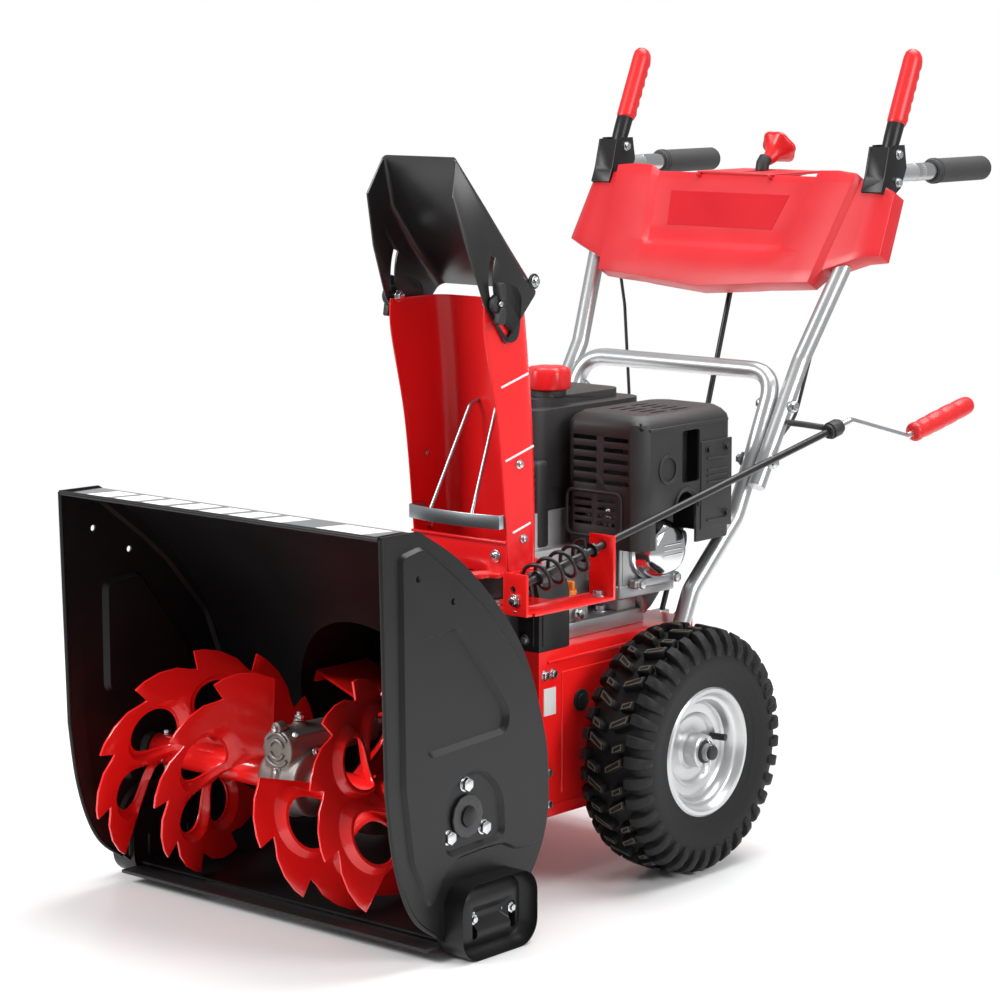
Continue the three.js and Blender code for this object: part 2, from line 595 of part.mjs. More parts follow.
function chuteBracket() {
  const floor = slab('z', [[150, -292], [236, -292], [240, -138], [192, -138], [190, -208], [150, -208]], 383, 387);
  const collar = bar('z', CHUTE.neck + 6, 376, 393, [CHUTE.x, CHUTE.y, 0], 20);
  const clear = bar('z', CHUTE.neck + GAP, 370, 400, [CHUTE.x, CHUTE.y, 0], 20);
  const ears = [block(194, 232, -304, -300, 383, 436), block(200, 240, -142, -138, 383, 466)];
  const step = block(194, 232, -304, -290, 383, 387);
  const bore = straight(alongRod(-120), alongRod(120), 5.5, 10);
  const coverSide = block(0, 185, -195.4, -150, 370, 400);
  piece('chute_bracket', cut(join([collar, floor, step, ...ears]), [clear, bore, coverSide]), redCoat());
}

// ---- engine -----------------------------------------------------------------------
// One casting: crankcase with its feet, and the finned cylinder to the left.
function engineBlock() {
  const barrel = block(79, 148, -8, 60, 372, 462);
  const slots = [88, 98, 108, 118, 128].map((x) => block(x, x + 5, -20, 4, 360, 480));
  const body = join([
    block(-80, 64, -112, 62, 330, 470),
    block(60, 80, -112, 60, 330, 422),
    block(-110, 130, -108, 60, FRAME.top + GAP, 331),
    bar('y', 46, -122, -108, [0, 0, CRANK.z], 20),
    cut(barrel, slots),
  ]);
  const hole = bar('y', CRANK.shaft + GAP, -130, -60, [0, 0, CRANK.z]);
  piece('engine_block', cut(body, [hole]), finish(0xa5a7a6, 0.5, 0.9));
}

function crankshaft() {
  const shaft = bar('y', CRANK.shaft, -189, -66, [0, 0, CRANK.z]);
  const pulleys = [pulley(CRANK.z, CRANK.pulley, -184, -168), bar('y', CRANK.pulley, -158, -144, [0, 0, CRANK.z])];
  piece('crankshaft', join([shaft, ...pulleys]), steel());
}

function valveCover() {
  piece('valve_cover', slab('x', roundRect(10, 96, 376, 458, 16), 148.4, 184), finish(0xc2c4c6, 0.25, 1));
}

function winterBox() {
  const outer = slab('z', roundRect(65, 200, -35, 169, 18), 425, 603);
  const inner = slab('z', roundRect(68, 197, -32, 166, 15), 400, 600);
  const window = block(150, 210, 55, 120, 520, 575);
  const notch = block(150, 210, 0, 110, 400, 462);
  piece('engine_cover', cut(outer, [inner, window, notch]), blackPlastic());
}

function recoilStarter() {
  const shroud = bar('y', 92, 62.4, 112, [0, 0, CRANK.z + 8], 24);
  const cover = bar('y', 76, 111, 138, [0, 0, CRANK.z + 8], 24);
  const ropeHole = bar('y', 5, 130, 150, [STARTER_X, 0, CRANK.z + 50], 10);
  const clear = [block(-100, 100, 50, 150, 280, FRAME.top + 1), block(64, 110, 50, 150, 424, 500), ropeHole];
  piece('recoil_starter', cut(join([shroud, cover]), clear), blackPlastic());
}

function starterHandle() {
  const grip = bar('x', 9, STARTER_X - 20, STARTER_X + 20, [0, 149, CRANK.z + 50], 14);
  const stem = bar('y', 3.5, 133, 149, [STARTER_X, 0, CRANK.z + 50], 10);
  piece('starter_handle', grip.add(stem), rubber());
}

function fuelTank() {
  const body = slab('z', roundRect(-150, 60, -88, 148, 26), 500, 606);
  const crown = slab('z', roundRect(-130, 40, -68, 128, 26), 605, 618);
  const neck = bar('z', 24, 617, 626, [20, -10, 0], 24);
  const cradle = block(-78, 58, -60, 60, 470.4, 501);
  piece('fuel_tank', join([body, crown, neck, cradle]), blackPlastic());
}

function fuelCap() {
  const cap = bar('z', 30, 626.4, 654, [20, -10, 0], 24);
  const ribs = [0, 1, 2].map((k) => {
    const rib = new THREE.BoxGeometry(56, 7, 5);
    rib.rotateZ((k * Math.PI) / 3).translate(20, -10, 656);
    return solid(rib);
  });
  piece('fuel_cap', join([cap, ...ribs]), redPlastic());
}

function muffler() {
  const can = slab('y', roundRect(-178, -92, 360, 470, 22), -60, 90);
  const hollow = slab('y', roundRect(-176, -94, 362, 468, 20), -58, 88);
  const inlet = bar('x', 13, -93, -80.4, [0, 20, 410]);
  const outlet = bar('y', 11, -92, -58, [-140, 0, 400]);
  const bore = bar('y', 9, -100, -40, [-140, 0, 400]);
  piece('muffler', cut(join([can.subtract(hollow), inlet, outlet]), [bore]), steel());
}

// ---- handlebar ----------------------------------------------------------------------
function lowerHandle() {
  const leg = (x) => [[76, 262], [84, 300], [108, 352], [205, 440], [242, 512], [299, 634]]
    .map(([y, z]) => at(x, y, z));
  const line = [...leg(LEG_X), ...leg(-LEG_X).reverse()];
  piece('lower_handle', wire(bentLine(line, 38), TUBE, 8), silverTube());
}

const uprightLine = (side) => bentLine([at(side * UPRIGHT_X, 220, 484), at(side * UPRIGHT_X, 322, 650),
  at(side * LEVER.x, 455, 904), at(side * (LEVER.x + 3), 700, 904)], 45);

function upright(name, side) {
  piece(name, wire(uprightLine(side), TUBE, 10), silverTube());
}

function grip(name, side) {
  const x = side * (LEVER.x + 3);
  const sleeve = straight(at(x, 566, 904), at(x, 704, 904), 17.5, 16);
  const bore = straight(at(x, 560, 904), at(x, 700.6, 904), TUBE + 2.2, 12);
  piece(name, sleeve.subtract(bore), rubber());
}

// Pivoting clutch lever above each grip: flat bar in a moulded sleeve.
function clutchLever(name, side) {
  const way = at(0, Math.sin(LEVER.lean), Math.cos(LEVER.lean));
  const across = at(0, Math.cos(LEVER.lean), -Math.sin(LEVER.lean));
  const foot = at(side * LEVER.x, LEVER.y, LEVER.z);
  const section = (distance, halfX, halfY) => [0, 1, 2, 3, 4, 5, 6, 7].map((k) => {
    const turn = (Math.PI * (k + 0.5)) / 4;
    return foot.clone().addScaledVector(way, distance)
      .add(at(halfX * Math.cos(turn) * 1.08, 0, 0)).addScaledVector(across, halfY * Math.sin(turn) * 1.08);
  });
  const body = loft([section(-9, 8, 7), section(0, 9, 10), section(34, 9, 12), section(60, 11, 14),
    section(132, 12, 15), section(150, 9, 11), section(156, 4, 6)]);
  const bore = bar('x', 3 + GAP, side * LEVER.x - 40, side * LEVER.x + 40, [0, LEVER.y, LEVER.z], 12);
  piece(name, cut(body, [bore]), redPlastic());
}

// Channel that clamps the tube and carries the lever's pivot pin.
function leverBracket(name, side) {
  const x = side * LEVER.x;
  const cheekShape = [[444, 868], [470, 884], [484, 912], [478, 944], [448, 944], [432, 900]];
  const cheeks = [-1, 1].map((k) => slab('x', cheekShape, x + k * 15.5 - 1.5, x + k * 15.5 + 1.5));
  const bridge = slab('x', [[421, 880], [424, 878], [436, 902], [445, 941], [441, 942], [431, 904]], x - 17, x + 17);
  const tieShape = [[422, 879], [436, 871], [444, 868], [448, 942], [440, 942], [430, 903]];
  const ties = [-1, 1].map((k) => slab('x', tieShape, x + k * 15.5 - 1.5, x + k * 15.5 + 1.5));
  const pin = bar('x', 3, x - 16, x + 16, [0, LEVER.y, LEVER.z], 12);
  const tube = wire(uprightLine(side), TUBE + GAP, 10);
  piece(name, cut(join([...cheeks, bridge, ...ties, pin]), [tube]), blackCoat());
}

// ---- dashboard -------------------------------------------------------------------------
const dashTurn = new THREE.Matrix4().makeBasis(
  at(1, 0, 0), at(0, Math.sin(DASH.lean), Math.cos(DASH.lean)), at(0, -Math.cos(DASH.lean), Math.sin(DASH.lean)));

// Outline as [x, distance up the face]; depth runs back from the face.
function dashSlab(outline, front, back) {
  const shape = new THREE.Shape(outline.map(([x, s]) => new THREE.Vector2(x, s)));
  const geometry = new THREE.ExtrudeGeometry(shape, { depth: back - front, bevelEnabled: false });
  geometry.translate(0, 0, -back);
  geometry.applyMatrix4(dashTurn);
  geometry.translate(0, DASH.y, DASH.z);
  return solid(geometry);
}

function dashboard() {
  const half = [[140, -30], [196, 0], [276, 52], [268, 142], [212, 156]];
  const outline = [...half, ...half.map(([x, s]) => [-x, s]).reverse()];
  const inner = [[136, -26], [193, 4], [272, 54], [264.5, 138.5], [211, 152]];
  const hollow = [...inner, ...inner.map(([x, s]) => [-x, s]).reverse()];
  const shell = dashSlab(outline, 0, DASH.depth).subtract(dashSlab(hollow, 3.5, DASH.depth + 5));
  const shelf = block(-70, 70, 432, 548, 896, 900);
  const slot = block(-9, 9, 458, 540, 880, 920);
  const cheekShape = [[352, 742], [372, 736], [484, 736], [484, 760], [400, 812], [372, 800]];
  const cheeks = [-1, 1].map((k) => slab('x', cheekShape, k * 16 - 2, k * 16 + 2));
  const shelfProps = [-1, 1].map((k) => slab('x', [[425, 893], [440, 888], [540, 897.5], [540, 899], [425, 899]],
    k * 64 - 2, k * 64 + 2));
  const pin = bar('x', 4, -17, 17, [0, SHIFT.y, SHIFT.z], 12);
  const tubeClear = [-1, 1].map((side) => wire(uprightLine(side), TUBE + 1.2, 10));
  const bracketClear = [-1, 1].map((side) => slab('x', [[410, 875], [440, 858], [500, 890], [500, 960], [410, 960]],
    side * LEVER.x - 20, side * LEVER.x + 20));
  const whole = join([shell, cut(shelf, [slot]), ...cheeks, ...shelfProps, pin]);
  piece('dashboard', cut(whole, [...tubeClear, ...bracketClear]), redPlastic());
}

// ---- shift lever and rod -------------------------------------------------------------------
function shiftLever() {
  const boss = bar('x', 11, -10, 10, [0, SHIFT.y, SHIFT.z], 16);
  const arm = wire(bentLine([at(0, SHIFT.y, SHIFT.z), at(0, 492, 850), at(0, 500, 905), at(0, 534, 929)], 30), 6, 10);
  const toe = straight(at(0, SHIFT.y, SHIFT.z), at(0, 430, 740), 6, 10);
  const lobes = Array.from({ length: 20 }, (_, k) => {
    const turn = (Math.PI * k) / 10;
    const radius = 22 + 4 * Math.cos(5 * turn);
    return [radius * Math.cos(turn), radius * Math.sin(turn)];
  });
  const face = new THREE.ExtrudeGeometry(new THREE.Shape(lobes.map(([u, v]) => new THREE.Vector2(u, v))),
    { depth: 18, bevelThickness: 5, bevelSize: 4, bevelSegments: 1, bevelOffset: -4 });
  const knob = solid(face.rotateX(-0.98).translate(0, 530, 927));
  const bore = bar('x', 4 + GAP, -20, 20, [0, SHIFT.y, SHIFT.z], 12);
  piece('shift_lever', cut(join([boss, arm, toe, knob]), [bore]), blackPlastic());
}

function shiftRod() {
  const line = bentLine([at(0, 424, 732), at(0, 374, 575), at(0, 292, 343), at(0, 262, 268)], 40);
  const clevis = block(-9, 9, 252, 274, 244, 282);
  piece('shift_rod', wire(line, 4, 8).add(clevis), steel());
}

// ---- clutch cables ----------------------------------------------------------------------------
function clutchCable(name, side) {
  const line = bentLine([at(side * 222, 452, 862), at(side * 208, 415, 800), at(side * 176, 398, 700),
    at(side * 150, 378, 560), at(side * 120, 300, 470), at(side * 110, 200, 330), at(side * 108, 134, 290)], 60);
  piece(name, wire(line, 2.5, 6), rubber());
}

// ---- skid shoes ----------------------------------------------------------------------------------
function skidShoe(name, side) {
  const outline = roundRect(SKID.front, SKID.back, 0, SKID.height, 30);
  const span = (a, b) => (side > 0 ? [SKID.x + a, SKID.x + b] : [-SKID.x - b, -SKID.x - a]);
  const pocket = roundRect(SKID.front + 8, SKID.back - 8, 10, SKID.height - 8, 24);
  const slotShape = (y) => roundRect(y - 5.5, y + 5.5, SKID.studZ - 24, SKID.studZ + 8, 5.4);
  const slots = SKID.studs.map((y) => slab('x', slotShape(y), ...span(-5, 40)));
  const body = slab('x', outline, ...span(0, 17)).subtract(slab('x', pocket, ...span(5, 30)));
  piece(name, cut(body, slots), blackCoat());
}

// ---- assembly ---------------------------------------------------------------------------------------
augerHousing();
scraperBar();
impellerHousing();
gearCase();
augerShaft();
wormWheel();
auger('auger_left', 1, [[167, -0.9, 3.15], [57, -2.1, 0.25]]);
auger('auger_right', -1, [[-218, -1.1, 3.3], [-107, -2.6, 1.6]]);
impeller();
impellerShaft();
impellerPulley();
belt('auger_belt', { z: IMPELLER.z, r: 65.5 }, { z: CRANK.z, r: CRANK.pulley - 4 }, -180.6, -171.4);
frameCase();
bottomCover();
beltCover();
driveDisc();
frictionWheel();
wheelAxle();
chute();
chuteGuard();
deflector();
chuteCrank();
crankGrip();
crankGuide();
chuteBracket();
engineBlock();
crankshaft();
valveCover();
winterBox();
recoilStarter();
starterHandle();
fuelTank();
fuelCap();
muffler();
lowerHandle();
dashboard();
shiftLever();
shiftRod();
for (const [hand, side] of [['left', 1], ['right', -1]]) {
  sidePlate(`side_plate_${hand}`, side);
  augerBearing(`auger_bearing_${hand}`, side);
  tyre(`tyre_${hand}`, side);
  rim(`rim_${hand}`, side);
  wingKnob(`wing_knob_${hand}`, side);
  upright(`upright_${hand}`, side);
  grip(`grip_${hand}`, side);
  clutchLever(`clutch_lever_${hand}`, side);
  leverBracket(`lever_bracket_${hand}`, side);
  clutchCable(`clutch_cable_${hand}`, side);
  skidShoe(`skid_shoe_${hand}`, side);
}

const extent = new THREE.Box3().setFromObject(machine);
machine.position.set(-(extent.min.x + extent.max.x) / 2, -(extent.min.y + extent.max.y) / 2, -extent.min.z);
machine.updateMatrixWorld(true);

export default machine;
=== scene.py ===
# Two-stage snow blower, finished for close views.  Millimetre sizes are turned into metres by MM,
# and every place is counted from the middle of the wheel axle, as the frame gives it.
import math

import bpy
from mathutils import Matrix, Vector, geometry


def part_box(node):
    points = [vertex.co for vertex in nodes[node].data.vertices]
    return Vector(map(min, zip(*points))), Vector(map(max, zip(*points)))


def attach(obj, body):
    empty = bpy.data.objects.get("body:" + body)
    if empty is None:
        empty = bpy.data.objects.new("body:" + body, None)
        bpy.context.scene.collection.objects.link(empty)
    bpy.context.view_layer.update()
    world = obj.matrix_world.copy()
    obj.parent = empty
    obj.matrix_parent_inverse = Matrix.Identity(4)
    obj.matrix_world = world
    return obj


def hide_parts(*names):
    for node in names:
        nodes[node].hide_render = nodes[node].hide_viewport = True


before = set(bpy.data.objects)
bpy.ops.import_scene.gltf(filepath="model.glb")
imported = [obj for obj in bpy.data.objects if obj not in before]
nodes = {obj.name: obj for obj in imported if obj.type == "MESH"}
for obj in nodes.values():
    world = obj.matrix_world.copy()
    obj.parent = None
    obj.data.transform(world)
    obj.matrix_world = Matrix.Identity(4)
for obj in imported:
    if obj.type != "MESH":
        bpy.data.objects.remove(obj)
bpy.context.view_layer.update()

# ---------------------------------------------------------------------------
# Studio: a pale floor, three soft lamps and a long lens at the height of a
# standing person's chest, in front of the machine and to its left.
MM = 0.001
axle_low, axle_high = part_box("wheel_axle")
AXLE = (axle_low + axle_high) / 2


def at(x, y, z):
    """A place in the frame, from millimetres left of, behind and above the ground under the axle."""
    return Vector((AXLE.x + x * MM, AXLE.y + y * MM, z * MM))


scene = bpy.context.scene
scene.view_settings.view_transform = "Standard"
CAMERA_LENS = 109.75
CAMERA_TILT, CAMERA_ROLL, CAMERA_TURN = 8.85, 0.09, 41.02
camera_data = bpy.data.cameras.new("long_lens")
camera_data.lens = CAMERA_LENS
camera_data.sensor_width = 36
camera_data.clip_end = 60
camera = bpy.data.objects.new("long_lens", camera_data)
camera.location = at(2648.8, -3130.4, 1110.2)
camera.rotation_euler = (math.radians(90 - CAMERA_TILT), math.radians(CAMERA_ROLL), math.radians(CAMERA_TURN))
scene.collection.objects.link(camera)
scene.camera = camera

bpy.ops.object.select_all(action="DESELECT")
bpy.ops.mesh.primitive_plane_add(size=14, location=(AXLE.x, AXLE.y, -0.0005))
floor = bpy.context.object
floor.name = "studio_floor"
floor_paint = bpy.data.materials.new("studio_floor")
floor_paint.use_nodes = True
floor_bsdf = floor_paint.node_tree.nodes["Principled BSDF"]
floor_bsdf.inputs["Base Color"].default_value = (0.93, 0.93, 0.93, 1)
floor_bsdf.inputs["Roughness"].default_value = 0.28
floor_bsdf.inputs["Specular IOR Level"].default_value = 0.35
floor_tree = floor_paint.node_tree
reach = floor_tree.nodes.new("ShaderNodeTexCoord")
stretch = floor_tree.nodes.new("ShaderNodeVectorMath")
stretch.operation = "LENGTH"
fade = floor_tree.nodes.new("ShaderNodeMapRange")
fade.interpolation_type = "SMOOTHSTEP"
fade.inputs["From Min"].default_value = 1.2
fade.inputs["From Max"].default_value = 2.6
fade.inputs["To Min"].default_value = 1.0
fade.inputs["To Max"].default_value = 0.0
floor_tree.links.new(reach.outputs["Object"], stretch.inputs[0])
floor_tree.links.new(stretch.outputs["Value"], fade.inputs["Value"])
floor_tree.links.new(fade.outputs["Result"], floor_bsdf.inputs["Alpha"])
floor.data.materials.append(floor_paint)

world = bpy.data.worlds.new("studio")
world.use_nodes = True
sky = world.node_tree.nodes["Background"]
sky.inputs["Strength"].default_value = 1.0
seen = world.node_tree.nodes.new("ShaderNodeLightPath")
sky_mix = world.node_tree.nodes.new("ShaderNodeMix")
sky_mix.data_type = "RGBA"
sky_mix.inputs["A"].default_value = (0.42, 0.425, 0.43, 1)
sky_mix.inputs["B"].default_value = (1, 1, 1, 1)
world.node_tree.links.new(seen.outputs["Is Camera Ray"], sky_mix.inputs["Factor"])
world.node_tree.links.new(sky_mix.outputs["Result"], sky.inputs["Color"])
scene.world = world


def lamp(name, place, aim, size, power):
    data = bpy.data.lights.new(name, "AREA")
    data.size = size
    data.energy = power
    light = bpy.data.objects.new(name, data)
    light.location = place
    light.rotation_euler = (aim - place).to_track_quat("-Z", "Y").to_euler()
    scene.collection.objects.link(light)


middle = at(0, 0, 500)
lamp("key", at(-1500, -3200, 2600), middle, 1.6, 130)
lamp("side", at(3200, 300, 1900), middle, 1.4, 60)
lamp("top", at(200, 900, 3400), middle, 2.6, 150)


# ---------------------------------------------------------------------------
# Auger housing: 3 mm sheet rolled into a trough, powder coated satin black.
# The back is welded to the drum, and a plain strip is stuck along its top band.
SHEET = 3.0
HALF_WIDTH = 280.0
AUGER_Y = -472.0
AUGER_Z = 172.0
TROUGH = 155.0
DRUM_Z = 217.0
DRUM_R = 150.0


def speckle_group():
    """Fine two-scale speckle: Fine drives grain, Broad drives handling marks and dust."""
    tree = bpy.data.node_groups.new("speckle", "ShaderNodeTree")
    tree.interface.new_socket("Scale", in_out="INPUT", socket_type="NodeSocketFloat")
    tree.interface.new_socket("Fine", in_out="OUTPUT", socket_type="NodeSocketFloat")
    tree.interface.new_socket("Broad", in_out="OUTPUT", socket_type="NodeSocketFloat")
    enter = tree.nodes.new("NodeGroupInput")
    leave = tree.nodes.new("NodeGroupOutput")
    place = tree.nodes.new("ShaderNodeTexCoord")
    for socket, factor, detail in (("Fine", 1.0, 4.0), ("Broad", 0.02, 3.0)):
        noise = tree.nodes.new("ShaderNodeTexNoise")
        noise.inputs["Detail"].default_value = detail
        scale = tree.nodes.new("ShaderNodeMath")
        scale.operation = "MULTIPLY"
        scale.inputs[1].default_value = factor
        tree.links.new(enter.outputs["Scale"], scale.inputs[0])
        tree.links.new(scale.outputs[0], noise.inputs["Scale"])
        tree.links.new(place.outputs["Object"], noise.inputs["Vector"])
        tree.links.new(noise.outputs["Fac"], leave.inputs[socket])
    return tree


speckle = speckle_group()


def coating(name, colour, roughness, metallic=0.0, grain=600.0, bump=0.02, spread=0.06, tint=0.12, **sockets):
    """A surface with fine grain in its height and broad, faint change in its colour and gloss."""
    material = bpy.data.materials.new(name)
    material.use_nodes = True
    tree = material.node_tree
    bsdf = tree.nodes["Principled BSDF"]
    marks = tree.nodes.new("ShaderNodeGroup")
    marks.node_tree = speckle
    marks.inputs["Scale"].default_value = grain
    shade = tree.nodes.new("ShaderNodeMix")
    shade.data_type = "RGBA"
    low = [c * (1 - tint) for c in colour]
    high = [min(1.0, c * (1 + tint) + 0.002) for c in colour]
    shade.inputs["A"].default_value = (*low, 1)
    shade.inputs["B"].default_value = (*high, 1)
    tree.links.new(marks.outputs["Broad"], shade.inputs["Factor"])
    tree.links.new(shade.outputs["Result"], bsdf.inputs["Base Color"])
    gloss = tree.nodes.new("ShaderNodeMapRange")
    gloss.inputs["To Min"].default_value = max(0.02, roughness - spread)
    gloss.inputs["To Max"].default_value = min(1.0, roughness + spread)
    tree.links.new(marks.outputs["Broad"], gloss.inputs["Value"])
    tree.links.new(gloss.outputs["Result"], bsdf.inputs["Roughness"])
    relief = tree.nodes.new("ShaderNodeBump")
    relief.inputs["Strength"].default_value = bump
    relief.inputs["Distance"].default_value = 0.001
    tree.links.new(marks.outputs["Fine"], relief.inputs["Height"])
    tree.links.new(relief.outputs["Normal"], bsdf.inputs["Normal"])
    bsdf.inputs["Metallic"].default_value = metallic
    for socket, value in sockets.items():
        bsdf.inputs[socket.replace("_", " ")].default_value = value
    return material


black_coat = coating("black_coat", (0.0075, 0.0075, 0.008), 0.36, grain=900, bump=0.12, Specular_IOR_Level=0.32)


def activate(piece):
    """Makes one piece the only selected and active one."""
    bpy.ops.object.select_all(action="DESELECT")
    piece.select_set(True)
    bpy.context.view_layer.objects.active = piece


def mesh_piece(name, points, faces):
    """A new object from points in the frame."""
    mesh = bpy.data.meshes.new(name)
    mesh.from_pydata([tuple(p) for p in points], [], faces)
    mesh.update()
    piece = bpy.data.objects.new(name, mesh)
    scene.collection.objects.link(piece)
    activate(piece)
    return piece


def edit(*steps):
    """Runs edit-mode operators on everything in the active piece."""
    bpy.ops.object.mode_set(mode="EDIT")
    bpy.ops.mesh.select_all(action="SELECT")
    for step in steps:
        step()
    bpy.ops.object.mode_set(mode="OBJECT")


def outward():
    bpy.ops.mesh.remove_doubles(threshold=1e-6)
    bpy.ops.mesh.normals_make_consistent(inside=False)


def apply_modifier(piece, kind, **settings):
    """Adds one modifier with its settings and applies it at once."""
    activate(piece)
    bpy.ops.object.modifier_add(type=kind)
    modifier = piece.modifiers[-1]
    for key, value in settings.items():
        setattr(modifier, key, value)
    bpy.ops.object.modifier_apply(modifier=modifier.name)


def rounded(piece, width, segments=2, angle=35):
    apply_modifier(piece, "BEVEL", width=width * MM, segments=segments, limit_method="ANGLE",
                   angle_limit=math.radians(angle))


def carve(piece, cutter, operation="DIFFERENCE"):
    """Cuts one piece with another, which is used up."""
    activate(piece)
    bpy.ops.object.modifier_add(type="BOOLEAN")
    modifier = piece.modifiers[-1]
    modifier.operation = operation
    modifier.solver = "EXACT"
    modifier.object = cutter
    bpy.ops.object.modifier_apply(modifier=modifier.name)
    bpy.data.objects.remove(cutter)


def done(piece, material, body, slot, *replaced, angle=40):
    """Last steps of each piece: place into the mesh, shading, finish, body and what it stands for; slot is not
    used.
    """
    activate(piece)
    bpy.ops.object.transform_apply(location=True, rotation=True, scale=True)
    bpy.ops.object.shade_smooth_by_angle(angle=math.radians(angle))
    piece.data.materials.clear()
    piece.data.materials.append(material)
    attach(piece, body)
    if replaced:
        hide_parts(*replaced)
    return piece


def rod(name, axis, radius, start, end, centre, sides=48, bevel=0.0):
    """A round bar along x, y or z between two millimetre stations, its rims softened."""
    spots = [Vector(centre), Vector(centre)]
    index = "xyz".index(axis)
    spots[0][index] = start
    spots[1][index] = end
    low, high = at(*spots[0]), at(*spots[1])
    bpy.ops.object.select_all(action="DESELECT")
    bpy.ops.mesh.primitive_cylinder_add(radius=radius * MM, depth=(high - low).length, vertices=sides,
                                        location=(low + high) / 2,
                                        rotation=(high - low).to_track_quat("Z", "Y").to_euler())
    piece = bpy.context.object
    piece.name = name
    bpy.ops.object.transform_apply(location=True, rotation=True, scale=True)
    if bevel:
        rounded(piece, bevel, 2, 50)
    return piece


def block(name, low, high, bevel=0.0, segments=2):
    """A box between two millimetre corners with softened edges."""
    corner, far = at(*low), at(*high)
    bpy.ops.object.select_all(action="DESELECT")
    bpy.ops.mesh.primitive_cube_add(size=1, location=(corner + far) / 2)
    piece = bpy.context.object
    piece.name = name
    piece.scale = far - corner
    bpy.ops.object.transform_apply(location=True, rotation=True, scale=True)
    if bevel:
        rounded(piece, bevel, segments)
    return piece


def merge(pieces, name):
    """Joins several pieces of one part into one object."""
    bpy.ops.object.select_all(action="DESELECT")
    for piece in pieces:
        piece.select_set(True)
    bpy.context.view_layer.objects.active = pieces[0]
    bpy.ops.object.join()
    bpy.context.object.name = name
    return bpy.context.object


def smooth_line(points, steps):
    """Catmull-Rom line through 2-D points."""
    line = []
    for i in range(len(points) - 1):
        p0, p1, p2, p3 = (Vector(points[min(max(k, 0), len(points) - 1)]) for k in (i - 1, i, i + 1, i + 2))
        for k in range(steps):
            t = k / steps
            line.append(0.5 * (2 * p1 + (p2 - p0) * t + (2 * p0 - 5 * p1 + 4 * p2 - p3) * t * t
                               + (3 * p1 - p0 - 3 * p2 + p3) * t ** 3))
    line.append(Vector(points[-1]))
    return line


BACK_POINTS = [(-552, 528), (-465, 472), (-372, 370), (-325, 250), (-317, 172)]


def housing_line(inset):
    """Side view of the housing, from the top front edge round the back to the lower lip, as (y, z)."""
    back = smooth_line(BACK_POINTS, 10)
    line = [Vector((-617, 529 - inset))]
    for i, point in enumerate(back):
        way = (back[min(i + 1, len(back) - 1)] - back[max(i - 1, 0)]).normalized()
        line.append(point + Vector((way.y, -way.x)) * inset)
    radius = TROUGH - inset
    for k in range(1, 18):
        turn = -k * math.pi / 36
        line.append(Vector((AUGER_Y + radius * math.cos(turn), AUGER_Z + radius * math.sin(turn))))
    line.append(Vector((AUGER_Y - 30, AUGER_Z - radius)))
    return line


def ribbon(name, line, x0, x1, columns, thickness):
    """Sheet drawn along a side-view line and across the machine, thickened inwards."""
    stations = [x0 + (x1 - x0) * k / columns for k in range(columns + 1)]
    points = [at(x, p[0], p[1]) for p in line for x in stations]
    wide = columns + 1
    faces = [(i * wide + j, i * wide + j + 1, (i + 1) * wide + j + 1, (i + 1) * wide + j)
             for i in range(len(line) - 1) for j in range(columns)]
    piece = mesh_piece(name, points, faces)
    apply_modifier(piece, "SOLIDIFY", thickness=thickness * MM, offset=0)
    return piece


housing = ribbon("auger_housing_sheet", housing_line(SHEET * 1.5), -276, 276, 1, SHEET)
edit(outward)
carve(housing, rod("intake_hole", "y", DRUM_R - 10, -420, -250, (0, 0, DRUM_Z), 96))
done(housing, black_coat, "chassis", "black_coat", "auger_housing", angle=25)

band_grey = coating("band_strip", (0.17, 0.172, 0.18), 0.45, grain=300, bump=0.02)
band_white = coating("band_marks", (0.80, 0.80, 0.80), 0.45, grain=300, bump=0.02)
strip = block("top_band_strip", (-262, -614, 526.6), (262, -560, 527.3))
done(strip, band_grey, "chassis", "black_coat")
marks = []
for start, width in [(-236 + 51 * k, 37) for k in range(7)] + [(166, 74)]:
    low = at(start, -608, 527.2)
    along, lean = Vector((width * MM, 0, 0)), Vector((13 * MM, 40 * MM, 0))
    mark = mesh_piece("band_mark", [low, low + along, low + along + lean, low + lean], [(0, 1, 2, 3)])
    apply_modifier(mark, "SOLIDIFY", thickness=0.5 * MM, offset=1)
    marks.append(mark)
done(merge(marks, "top_band_marks"), band_white, "chassis", "black_coat")

# ---------------------------------------------------------------------------
# Side plates: pressed 3 mm sheet, welded to the trough.  Each has a rolled rim,
# a large pressed D panel, a small panel round the bearing and an arch over the shoe.
PLATE_FRONT = [(-525, 34), (-559, 59), (-582, 97), (-599, 154), (-609, 226)]


def inside(point, loop):
    """Whether a flat point lies within a loop."""
    hit = False
    for (x0, y0), (x1, y1) in zip(loop, loop[1:] + loop[:1]):
        if (y0 > point[1]) != (y1 > point[1]):
            hit ^= point[0] < (x1 - x0) * (point[1] - y0) / (y1 - y0) + x0
    return hit


def soft_loop(corners, radius, steps=6):
    """A closed outline with its corners rounded."""
    loop = []
    for i, corner in enumerate(corners):
        here = Vector(corner)
        for other, order in ((Vector(corners[i - 1]), 0), (Vector(corners[(i + 1) % len(corners)]), 1)):
            reach = min(radius, 0.45 * (other - here).length)
            if order == 0:
                start = here + (other - here).normalized() * reach
            else:
                finish_point = here + (other - here).normalized() * reach
        for k in range(steps + 1):
            t = k / steps
            loop.append(tuple((1 - t) ** 2 * start + 2 * t * (1 - t) * here + t * t * finish_point))
    return loop


